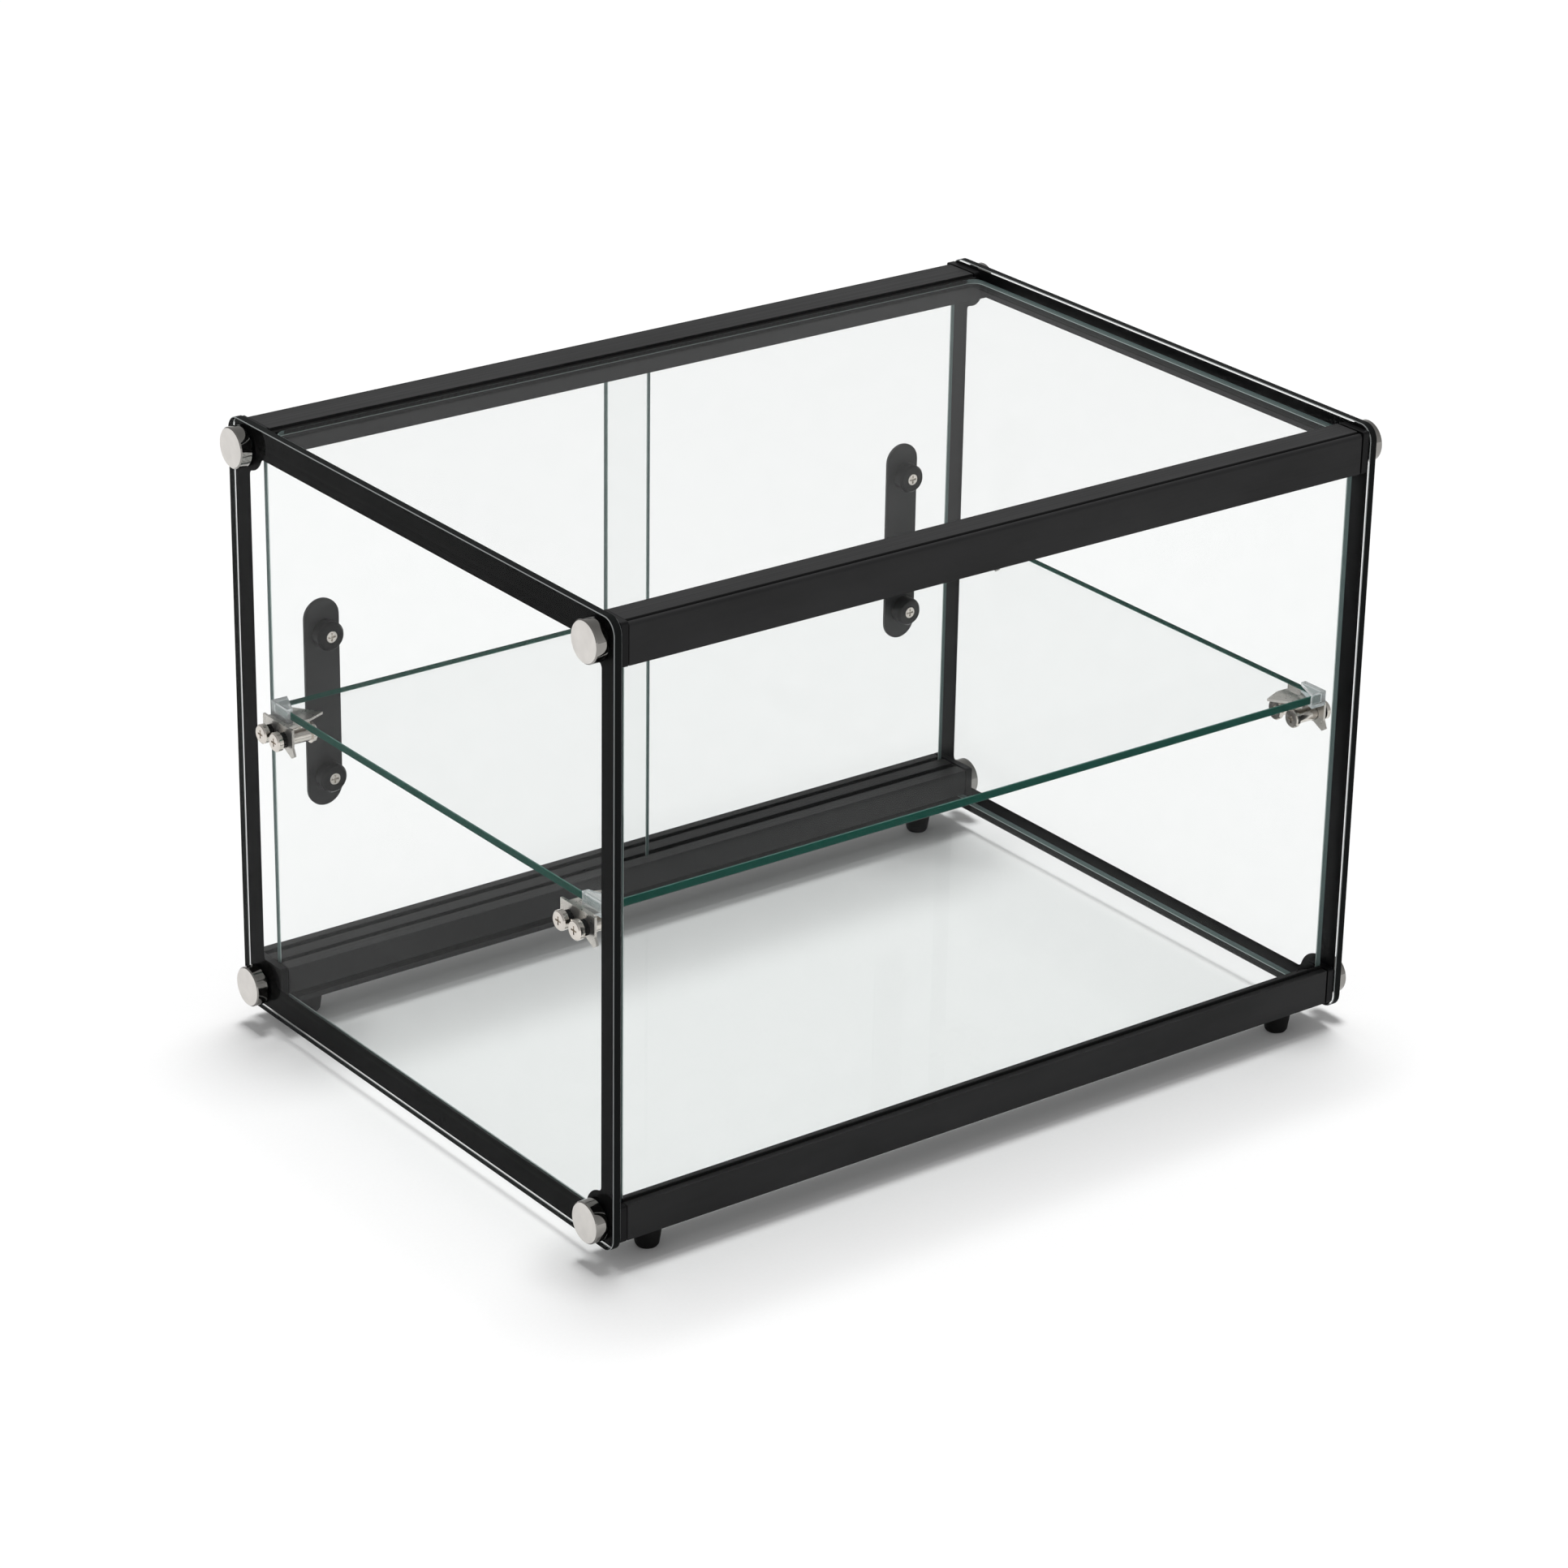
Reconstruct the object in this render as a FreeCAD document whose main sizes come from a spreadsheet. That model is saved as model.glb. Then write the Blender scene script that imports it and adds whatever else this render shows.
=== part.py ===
import FreeCAD, Part
import os
import Sketcher

# Tabletop display case: two clear side glasses bolted to four black extruded rails, with clear top,
# front, base and shelf glasses and two glass doors that slide past each other at the back.
# Millimetres. +X to the viewer's right, +Y to the back, +Z up. The origin is on the table, under the
# middle of the case.

V = FreeCAD.Vector
doc = FreeCAD.newDocument("DisplayCase")

# ---------------------------------------------------------------- driving sizes
SIZES = [
    # side glasses and the whole case
    ("case_width", 520), ("case_depth", 378), ("panel_height", 363), ("panel_lift", 11),
    ("side_glass", 5), ("panel_corner", 9), ("arris", 0.4),
    # black border fired on the inner face of each side glass
    ("ink_thick", 0.2), ("ink_margin", 1), ("ink_upright", 16.5), ("ink_top", 19.5),
    ("ink_bottom", 17.5), ("ink_lobe", 15), ("ink_fillet", 3),
    # corner fixings
    ("bolt_front", 15.5), ("bolt_rear", 15.75), ("bolt_top", 14.5), ("bolt_bottom", 15.5),
    ("bolt_dia", 5), ("bolt_play", 0.2), ("bolt_length", 20), ("bush_wall", 2.3),
    ("cap_dia", 24), ("cap_thick", 7), ("cap_bevel", 0.7), ("cap_bore", 5),
    ("washer_dia", 20), ("washer_thick", 1),
    # rails
    ("rail_setback", 1.5), ("rail_drop", 3), ("rail_rise", 5.5), ("rail_wall", 1.8),
    ("rail_round", 2.3), ("ridge_width", 4.3), ("ridge_drop", 0.6), ("groove_width", 1.2),
    ("groove_depth", 2),
    ("front_top_height", 24), ("front_top_depth", 20.5),
    ("front_low_height", 21), ("front_low_depth", 27.5), ("flange_depth", 9),
    ("flange_height", 10.5), ("inner_wall_height", 15.5),
    # the rear rails are deeper than rear_depth by the two door glasses that they hold
    ("rear_depth", 25.5), ("rear_top_height", 16.2), ("rear_low_height", 25),
    # end caps of the rails
    ("end_cap", 5.2), ("end_cap_neck", 0.8), ("end_cap_inset", 1), ("end_cap_proud", 0.4),
    ("end_cap_round", 1.4),
    # fixed glasses and their gaskets
    ("front_glass", 5), ("front_glass_set", 7), ("gasket_wall", 1), ("gasket_bed", 0.5),
    ("gasket_proud", 1.8), ("front_glass_play", 0.2), ("front_slot_low", 6.5),
    ("front_slot_high", 7), ("front_glass_bite", 6),
    ("top_glass", 5), ("top_glass_drop", 1.5), ("top_slot_depth", 10), ("top_ledge", 7.5),
    ("top_corner", 7), ("top_seal_gap", 3.5),
    ("base_glass", 5), ("base_glass_rise", 9), ("base_slot_depth", 8), ("glass_play", 0.3),
    # shelf
    ("shelf_glass", 5), ("shelf_rise", 190.5), ("shelf_front", 23), ("shelf_rear", 30),
    ("shelf_gap", 5),
    ("boot_wall", 2), ("boot_along", 17.5), ("boot_across", 10.5), ("boot_narrow", 3.5),
    ("boot_fit", 0.1),
    ("post_near", 31.5), ("rear_post_clear", 6), ("post_pitch", 14.5), ("post_drop", 10.5), ("post_dia", 8),
    ("post_reach", 19), ("post_inner_head", 11), ("post_inner_thick", 2.5),
    ("post_outer_head", 11.5), ("post_outer_thick", 3.5), ("post_screw", 4),
    ("post_screw_reach", 14), ("post_hole_play", 1),
    ("bracket_thick", 1.5), ("bracket_reach", 27), ("bracket_tip", 12), ("bracket_height", 14),
    ("bracket_margin", 8.5), ("bracket_film", 0.1), ("leg_margin", 4.5), ("ear_drop", 3.5),
    ("cross_length", 5), ("cross_width", 1.1), ("cross_depth", 1),
    # sliding doors
    ("door_glass", 4), ("door_set", 7.5), ("door_gap", 10), ("door_overlap", 21.5),
    ("door_end_gap", 0.6), ("door_play", 0.3), ("liner_wall", 0.5), ("track_depth", 8),
    ("head_depth", 13.7), ("door_reach", 6.7), ("door_rest_gap", 0.3),
    ("handle_length", 128), ("handle_width", 23), ("handle_thick", 2), ("handle_inset", 35),
    ("handle_rise", 185), ("handle_round", 0.6),
    ("knob_dia", 17.5), ("knob_lip", 1.6), ("knob_lip_dia", 15), ("knob_height", 7.5),
    ("knob_pitch", 88), ("knob_screw", 4), ("knob_screw_head", 6.8), ("knob_screw_thick", 1.6),
    # feet
    ("foot_in", 29), ("foot_edge", 17), ("foot_top_dia", 18), ("foot_tip_dia", 13.5),
    ("foot_tip", 1.5), ("foot_tip_draw", 2), ("foot_screw", 4), ("foot_screw_head", 7.5),
    ("foot_screw_thick", 2.6), ("foot_recess", 6), ("foot_screw_bite", 5),
]
sheet = doc.addObject("Spreadsheet::Sheet", "Sizes")
for row, (alias, value) in enumerate(SIZES, start=1):
    sheet.set("A%d" % row, alias)
    sheet.set("B%d" % row, str(value))
    sheet.setAlias("B%d" % row, alias)
doc.recompute()


def size(text):
    """Puts the sheet's name before each alias in an expression written with bare aliases."""
    words = []
    token = ""
    for char in text + " ":
        if char.isalnum() or char in "_.":
            token += char
            continue
        words.append("Sizes." + token if token in ALIASES else token)
        words.append(char)
        token = ""
    return "".join(words).strip()


ALIASES = {alias for alias, value in SIZES}

# ---------------------------------------------------------------- lines that pieces share
# Each is an expression in the sheet's aliases. X values are for the right-hand side.
GLASS_OUT = "(case_width / 2)"
GLASS_IN = "(case_width / 2 - side_glass)"
INK_IN = f"({GLASS_IN} - ink_thick)"
RAIL_END = f"({INK_IN} - end_cap)"
FRONT = "(-case_depth / 2)"
BACK = "(case_depth / 2)"
FLOOR = "(panel_lift)"
CEILING = "(panel_lift + panel_height)"

RAIL_FRONT = f"({FRONT} + rail_setback)"
RAIL_BACK = f"({BACK} - rail_setback)"
RAIL_TOP = f"({CEILING} - rail_drop)"
RAIL_BASE = f"({FLOOR} + rail_rise)"
FRONT_TOP_LOW = f"({RAIL_TOP} - front_top_height)"
FRONT_TOP_IN = f"({RAIL_FRONT} + front_top_depth)"
FRONT_LOW_HIGH = f"({RAIL_BASE} + front_low_height)"
FRONT_LOW_IN = f"({RAIL_FRONT} + front_low_depth)"
FLANGE_OUT = f"({FRONT_LOW_IN} - flange_depth)"
FLANGE_TOP = f"({RAIL_BASE} + flange_height)"
INNER_WALL_TOP = f"({RAIL_BASE} + inner_wall_height)"
REAR_IN = f"({RAIL_BACK} - rear_depth - 2 * door_glass)"
REAR_TOP_LOW = f"({RAIL_TOP} - rear_top_height)"
REAR_LOW_HIGH = f"({RAIL_BASE} + rear_low_height)"

BOLT_FRONT = f"({FRONT} + bolt_front)"
BOLT_REAR = f"({BACK} - bolt_rear)"
BOLT_TOP = f"({CEILING} - bolt_top)"
BOLT_LOW = f"({FLOOR} + bolt_bottom)"

PANE_FRONT = f"({FRONT} + front_glass_set)"
PANE_BACK = f"({PANE_FRONT} + front_glass)"
PANE_LOW = f"({FRONT_LOW_HIGH} - front_slot_low + gasket_bed)"
PANE_HIGH = f"({FRONT_TOP_LOW} + front_glass_bite)"

ROOF_HIGH = f"({RAIL_TOP} - top_glass_drop)"
ROOF_LOW = f"({ROOF_HIGH} - top_glass)"
ROOF_LIP = f"({REAR_IN} + top_ledge)"
ROOF_BACK = f"({ROOF_LIP} - top_seal_gap)"
ROOF_SLOT = f"({FRONT_TOP_IN} - top_slot_depth)"

DECK_LOW = f"({FLOOR} + base_glass_rise)"
DECK_HIGH = f"({DECK_LOW} + base_glass)"
DECK_FRONT_SLOT = f"({FRONT_LOW_IN} - base_slot_depth)"
DECK_REAR_SLOT = f"({REAR_IN} + base_slot_depth)"

SHELF_LOW = f"({FLOOR} + shelf_rise)"
SHELF_HIGH = f"({SHELF_LOW} + shelf_glass)"
SHELF_END = f"({GLASS_IN} - shelf_gap)"
BOOT_OUT = f"({SHELF_END} + boot_fit + boot_wall)"
BOOT_LOW = f"({SHELF_LOW} - boot_wall)"
POST_Z = f"({SHELF_LOW} - post_drop)"

OUTER_DOOR = f"({BACK} - door_set - door_glass)"
INNER_DOOR = f"({OUTER_DOOR} - door_gap - door_glass)"
DOOR_SIDE = f"({RAIL_END} - door_end_gap)"
SLOT_SIDE = "(door_play + liner_wall)"
TRACK_FLOOR = f"({REAR_LOW_HIGH} - track_depth)"
HEAD_ROOF = f"({REAR_TOP_LOW} + head_depth)"
DOOR_LOW = f"({TRACK_FLOOR} + liner_wall + door_rest_gap)"
DOOR_HIGH = f"({REAR_TOP_LOW} + door_reach)"
HANDLE_X = f"({DOOR_SIDE} - handle_inset)"
HANDLE_Z = f"({FLOOR} + handle_rise)"

SIDES = (("left", -1), ("right", 1))
# The rear posts keep clear of the inner door, and their corner is measured back from it.
REAR_CORNER = f"({INNER_DOOR} - rear_post_clear + post_near)"
ENDS = (("front", FRONT, 1), ("rear", REAR_CORNER, -1))

pieces = []
cuts = []


# ---------------------------------------------------------------- drawing helpers
def bind(obj, **expressions):
    """Binds properties of an object to expressions in the sheet's aliases."""
    for prop, text in expressions.items():
        obj.setExpression(prop.replace("__", "."), size(text))
    return obj


def keep(obj, label):
    """Makes an object one of the case's pieces, under the name that its file will have."""
    obj.Label = label
    pieces.append(obj)
    return obj


def block(name, x_low, x_high, y_low, y_high, z_low, z_high):
    """A rectangular block between two values on each axis."""
    obj = doc.addObject("Part::Box", name)
    return bind(obj, Length=f"({x_high}) - ({x_low})", Width=f"({y_high}) - ({y_low})",
                Height=f"({z_high}) - ({z_low})", Placement__Base__x=x_low,
                Placement__Base__y=y_low, Placement__Base__z=z_low)


def side_rod(name, side, x_start, y, z, dia, length, tip_dia=None):
    """A round bar or, with tip_dia, a taper, along X from x_start outwards on one side."""
    kind = "Part::Cylinder" if tip_dia is None else "Part::Cone"
    obj = doc.addObject(kind, name)
    obj.Placement = FreeCAD.Placement(V(), FreeCAD.Rotation(V(0, 1, 0), 90 * side))
    bind(obj, Height=length, Placement__Base__x=f"{side} * ({x_start})",
         Placement__Base__y=y, Placement__Base__z=z)
    if tip_dia is None:
        return bind(obj, Radius=f"({dia}) / 2")
    return bind(obj, Radius1=f"({dia}) / 2", Radius2=f"({tip_dia}) / 2")


def depth_rod(name, x, y_start, z, dia, length, toward=1, tip_dia=None):
    """A round bar or taper along Y from y_start, towards the back (1) or the front (-1)."""
    kind = "Part::Cylinder" if tip_dia is None else "Part::Cone"
    obj = doc.addObject(kind, name)
    obj.Placement = FreeCAD.Placement(V(), FreeCAD.Rotation(V(1, 0, 0), -90 * toward))
    bind(obj, Height=length, Placement__Base__x=x, Placement__Base__y=y_start,
         Placement__Base__z=z)
    if tip_dia is None:
        return bind(obj, Radius=f"({dia}) / 2")
    return bind(obj, Radius1=f"({dia}) / 2", Radius2=f"({tip_dia}) / 2")


def upright_rod(name, x, y, z_start, dia, length, tip_dia=None):
    """A round bar or taper upwards from z_start."""
    kind = "Part::Cylinder" if tip_dia is None else "Part::Cone"
    obj = doc.addObject(kind, name)
    bind(obj, Height=length, Placement__Base__x=x, Placement__Base__y=y,
         Placement__Base__z=z_start)
    if tip_dia is None:
        return bind(obj, Radius=f"({dia}) / 2")
    return bind(obj, Radius1=f"({dia}) / 2", Radius2=f"({tip_dia}) / 2")


def fuse(name, shapes):
    obj = doc.addObject("Part::MultiFuse", name)
    obj.Shapes = shapes
    obj.Refine = True
    return obj


def cut(name, base, tools):
    """A base with one or more tools taken out of it."""
    obj = doc.addObject("Part::Cut", name)
    obj.Base = base
    obj.Tool = tools[0] if len(tools) == 1 else fuse(name + "_tools", tools)
    cuts.append((obj, tools))
    return obj


def group(name, members):
    """Identical pieces kept together as separate solids."""
    obj = doc.addObject("Part::Compound", name)
    obj.Links = members
    return obj


def sketch(body, name, role, outline=(), circles=(), lift=None):
    """A sketch on one of the body's planes: closed outlines and circles tied to the sheet."""
    drawing = body.newObject("Sketcher::SketchObject", name)
    plane = [f for f in body.Origin.OriginFeatures if f.Role == role][0]
    drawing.AttachmentSupport = [(plane, "")]
    drawing.MapMode = "FlatFace"
    if lift is not None:
        bind(drawing, AttachmentOffset__Base__z=lift)
    for corners in outline:
        first = drawing.GeometryCount
        places = [(number(x), number(y)) for x, y in corners]
        count = len(corners)
        for i in range(count):
            start, end = places[i], places[(i + 1) % count]
            drawing.addGeometry(Part.LineSegment(V(*start, 0), V(*end, 0)), False)
        for i in range(count):
            following = first + (i + 1) % count
            drawing.addConstraint(Sketcher.Constraint("Coincident", first + i, 2, following, 1))
        for i, (corner, place) in enumerate(zip(corners, places)):
            for kind, text, value in zip(("DistanceX", "DistanceY"), corner, place):
                rule = Sketcher.Constraint(kind, -1, 1, first + i, 1, value)
                tie(drawing, rule, text)
    for x, y, dia in circles:
        centre = V(number(x), number(y), 0)
        ring = drawing.addGeometry(Part.Circle(centre, V(0, 0, 1), number(dia) / 2), False)
        tie(drawing, Sketcher.Constraint("DistanceX", -1, 1, ring, 3, centre.x), x)
        tie(drawing, Sketcher.Constraint("DistanceY", -1, 1, ring, 3, centre.y), y)
        tie(drawing, Sketcher.Constraint("Diameter", ring, number(dia)), dia)
    return drawing


def tie(drawing, rule, text):
    """Adds a driving constraint whose value follows an expression."""
    index = drawing.addConstraint(rule)
    drawing.setExpression("Constraints[%d]" % index, size(text))


def number(text):
    """The present value of an expression in the sheet's aliases."""
    return float(sheet.evalExpression(size(text).replace("Sizes.", "")))


def new_body(label):
    return keep(doc.addObject("PartDesign::Body", label), label)


def pad(body, name, drawing, length, middle=False, back=False):
    feature = body.newObject("PartDesign::Pad", name)
    feature.Profile = drawing
    feature.Midplane = middle
    feature.Reversed = back
    return bind(feature, Length=length)


def pocket(body, name, drawing):
    """Cuts a sketch right through the body, both ways."""
    doc.recompute()
    before = body.Shape.Volume
    feature = body.newObject("PartDesign::Pocket", name)
    feature.Profile = drawing
    feature.Type = 1
    feature.Midplane = True
    doc.recompute()
    if not body.Shape.Volume < before:
        raise RuntimeError(f"{name} cut nothing from {body.Label}")
    return feature


def dress(body, kind, name, amount, wanted):
    """A Fillet or Chamfer on the edges that the test picks out."""
    doc.recompute()
    base = body.Tip
    names = [f"Edge{i}" for i, edge in enumerate(base.Shape.Edges, start=1) if wanted(edge)]
    if not names:
        raise RuntimeError(f"{name} found no edges on {body.Label}")
    feature = body.newObject("PartDesign::" + kind, name)
    feature.Base = (base, names)
    return bind(feature, **{"Radius" if kind == "Fillet" else "Size": amount})


def runs_along(edge, axis):
    """True for a straight edge parallel to an axis."""
    if not isinstance(edge.Curve, (Part.Line, Part.LineSegment)):
        return False
    span = edge.BoundBox
    spans = {"x": span.XLength, "y": span.YLength, "z": span.ZLength}
    return all(value < 1e-6 for name, value in spans.items() if name != axis)


def near(value, text):
    return abs(value - number(text)) < 1e-4


# ---------------------------------------------------------------- glasses
def plate(label, x_low, x_high, y_low, y_high, z_low, z_high, corner=None):
    """A clear glass with ground arrises. Its rear corners may be rounded."""
    body = new_body(label)
    outline = [(x_low, y_low), (x_high, y_low), (x_high, y_high), (x_low, y_high)]
    drawing = sketch(body, label + "_outline", "XY_Plane", [outline], lift=z_low)
    pad(body, label + "_pad", drawing, f"{z_high} - {z_low}")
    if corner:
        dress(body, "Fillet", label + "_corners", corner,
              lambda e: runs_along(e, "z") and near(e.BoundBox.YMax, y_high))
    dress(body, "Chamfer", label + "_arris", "arris", lambda e: True)
    return body


def side_panel(word, side):
    """A side glass: rounded corners, four bolt holes and four shelf post holes."""
    label = f"{word}_side_glass"
    body = new_body(label)
    outline = [(FRONT, FLOOR), (BACK, FLOOR), (BACK, CEILING), (FRONT, CEILING)]
    start = GLASS_IN if side > 0 else f"-{GLASS_OUT}"
    drawing = sketch(body, label + "_outline", "YZ_Plane", [outline], lift=start)
    pad(body, label + "_pad", drawing, "side_glass")
    dress(body, "Fillet", label + "_corners", "panel_corner", lambda e: runs_along(e, "x"))
    dress(body, "Chamfer", label + "_arris", "arris", lambda e: not runs_along(e, "x"))
    bush = "bolt_dia + 2 * bolt_play + 2 * bush_wall"
    holes = [(y, z, bush) for y in (BOLT_FRONT, BOLT_REAR) for z in (BOLT_TOP, BOLT_LOW)]
    holes += [(y, POST_Z, "post_dia + post_hole_play") for y in POST_PLACES]
    pocket(body, label + "_holes", sketch(body, label + "_hole_plan", "YZ_Plane", (), holes))


def post_place(edge, inward, index):
    """The Y of a shelf post, counted from the edge that its pair is near."""
    return f"({edge} + {inward} * (post_near + {index} * post_pitch))"


# Y of the four shelf posts on each side, a pair near the front and a pair near the back
POST_PLACES = [post_place(edge, inward, i) for word, edge, inward in ENDS for i in (0, 1)]


def ink_border(word, side):
    """The black border on a side glass's inner face, with a lobe round each corner bolt."""
    label = f"{word}_glass_border"
    body = doc.addObject("PartDesign::Body", label + "_sheet")
    y_low, y_high = f"({FRONT} + ink_margin)", f"({BACK} - ink_margin)"
    z_low, z_high = f"({FLOOR} + ink_margin)", f"({CEILING} - ink_margin)"
    outline = [(y_low, z_low), (y_high, z_low), (y_high, z_high), (y_low, z_high)]
    start = INK_IN if side > 0 else f"-{GLASS_IN}"
    drawing = sketch(body, label + "_outline", "YZ_Plane", [outline], lift=start)
    pad(body, label + "_pad", drawing, "ink_thick")
    dress(body, "Fillet", label + "_corners", "panel_corner - ink_margin",
          lambda e: runs_along(e, "x"))
    opening = doc.addObject("PartDesign::Body", label + "_window")
    y_in, y_out = f"({FRONT} + ink_upright)", f"({BACK} - ink_upright)"
    z_in, z_out = f"({FLOOR} + ink_bottom)", f"({CEILING} - ink_top)"
    opening_outline = [(y_in, z_in), (y_out, z_in), (y_out, z_out), (y_in, z_out)]
    opening_start = f"{INK_IN} - ink_thick" if side > 0 else f"2 * ink_thick - {GLASS_OUT}"
    opening_plan = sketch(opening, label + "_window_plan", "YZ_Plane", [opening_outline],
                          lift=opening_start)
    pad(opening, label + "_window_pad", opening_plan, "side_glass")
    lobes = [(y, z, "2 * ink_lobe") for y in (BOLT_FRONT, BOLT_REAR) for z in (BOLT_TOP, BOLT_LOW)]
    lobe_plan = sketch(opening, label + "_lobes", "YZ_Plane", (), lobes)
    pocket(opening, label + "_lobe_cut", lobe_plan)
    dress(opening, "Fillet", label + "_lobe_blend", "ink_fillet", lambda e: runs_along(e, "x"))
    holes = [side_rod(f"{label}_hole_{i}", side, f"{INK_IN} - 1", y, z, "bolt_dia + bolt_play", "3")
             for i, (y, z, dia) in enumerate(lobes)]
    keep(cut(label, body, [opening] + holes), label)


# ---------------------------------------------------------------- rails
def rail(label, corners, port, chambers=(), rounding=None):
    """An extruded rail: an outline along X, a screw port through it and its hollow chambers."""
    body = new_body(label)
    drawing = sketch(body, label + "_outline", "YZ_Plane", [corners])
    pad(body, label + "_pad", drawing, f"2 * {RAIL_END}", middle=True)
    if rounding:
        dress(body, "Fillet", label + "_rounding", "rail_round", rounding)
    bores = sketch(body, label + "_bores", "YZ_Plane", list(chambers),
                   [(port[0], port[1], "bolt_dia + bolt_play")])
    pocket(body, label + "_ports", bores)
    return body


def foot_holes(label, body, y):
    """Blind holes under a low rail for its two foot screws."""
    holes = [(x, y, "foot_screw + bolt_play") for x in (f"-{FOOT_X}", FOOT_X)]
    doc.recompute()
    before = body.Shape.Volume
    feature = body.newObject("PartDesign::Pocket", label + "_foot_holes")
    feature.Profile = sketch(body, label + "_foot_plan", "XY_Plane", (), holes, lift=RAIL_BASE)
    feature.Reversed = True
    bind(feature, Length="foot_screw_bite + glass_play")
    doc.recompute()
    if not body.Shape.Volume < before:
        raise RuntimeError(f"the foot holes cut nothing from {label}")


FOOT_X = f"({GLASS_IN} - foot_in)"
FOOT_FRONT = f"({FRONT} + foot_edge)"
FOOT_REAR = f"({BACK} - foot_edge)"


def front_top_rail():
    slot_low = f"({PANE_FRONT} - front_glass_play)"
    slot_high = f"({PANE_BACK} + front_glass_play)"
    slot_roof = f"({FRONT_TOP_LOW} + front_slot_high)"
    lip = f"({ROOF_HIGH} + glass_play / 2)"
    ridge = f"({RAIL_FRONT} + ridge_width)"
    corners = [
        (RAIL_FRONT, FRONT_TOP_LOW), (slot_low, FRONT_TOP_LOW), (slot_low, slot_roof),
        (slot_high, slot_roof), (slot_high, FRONT_TOP_LOW), (FRONT_TOP_IN, FRONT_TOP_LOW),
        (FRONT_TOP_IN, ROOF_LOW), (ROOF_SLOT, ROOF_LOW), (ROOF_SLOT, lip), (FRONT_TOP_IN, lip),
        (FRONT_TOP_IN, RAIL_TOP), (ridge, RAIL_TOP),
        (f"{ridge} - groove_width / 3", f"{RAIL_TOP} - groove_depth"),
        (f"{ridge} - groove_width", f"{RAIL_TOP} - groove_depth"),
        (f"{ridge} - groove_width * 1.5", f"{RAIL_TOP} - ridge_drop"),
        (RAIL_FRONT, f"{RAIL_TOP} - ridge_drop"),
    ]
    rail("front_top_rail", corners, (BOLT_FRONT, BOLT_TOP),
         rounding=lambda e: runs_along(e, "x") and near(e.BoundBox.YMin, RAIL_FRONT)
         and e.BoundBox.ZMax > number(ROOF_LOW))


def front_low_rail():
    slot_low = f"({PANE_FRONT} - gasket_wall)"
    slot_high = f"({PANE_BACK} + front_glass_play)"
    slot_floor = f"({FRONT_LOW_HIGH} - front_slot_low)"
    deck_top = f"({DECK_HIGH} + glass_play)"
    corners = [
        (RAIL_FRONT, RAIL_BASE), (FRONT_LOW_IN, RAIL_BASE), (FRONT_LOW_IN, DECK_LOW),
        (DECK_FRONT_SLOT, DECK_LOW), (DECK_FRONT_SLOT, deck_top), (FRONT_LOW_IN, deck_top),
        (FRONT_LOW_IN, FLANGE_TOP), (FLANGE_OUT, FLANGE_TOP), (FLANGE_OUT, INNER_WALL_TOP),
        (slot_high, INNER_WALL_TOP), (slot_high, slot_floor), (slot_low, slot_floor),
        (slot_low, FRONT_LOW_HIGH), (RAIL_FRONT, FRONT_LOW_HIGH),
    ]
    body = rail("front_low_rail", corners, (BOLT_FRONT, BOLT_LOW))
    foot_holes("front_low_rail", body, FOOT_FRONT)


def door_slots(level, end):
    """Outline corners of the two door slots cut from one level of a rear rail to another."""
    corners = []
    for door in (INNER_DOOR, OUTER_DOOR):
        near_side, far_side = f"({door} - {SLOT_SIDE})", f"({door} + door_glass + {SLOT_SIDE})"
        corners += [(near_side, level), (near_side, end), (far_side, end), (far_side, level)]
    return corners


def rear_top_rail():
    ridge = f"({RAIL_BACK} - ridge_width)"
    corners = [(REAR_IN, REAR_TOP_LOW)] + door_slots(REAR_TOP_LOW, HEAD_ROOF) + [
        (RAIL_BACK, REAR_TOP_LOW), (RAIL_BACK, f"{RAIL_TOP} - ridge_drop"),
        (f"{ridge} + groove_width * 1.5", f"{RAIL_TOP} - ridge_drop"),
        (f"{ridge} + groove_width", f"{RAIL_TOP} - groove_depth"),
        (f"{ridge} + groove_width / 3", f"{RAIL_TOP} - groove_depth"),
        (ridge, RAIL_TOP), (ROOF_LIP, RAIL_TOP), (ROOF_LIP, ROOF_LOW), (REAR_IN, ROOF_LOW),
    ]
    rail("rear_top_rail", corners, (BOLT_REAR, BOLT_TOP),
         rounding=lambda e: runs_along(e, "x") and near(e.BoundBox.YMax, RAIL_BACK)
         and e.BoundBox.ZMax > number(ROOF_LOW))


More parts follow.
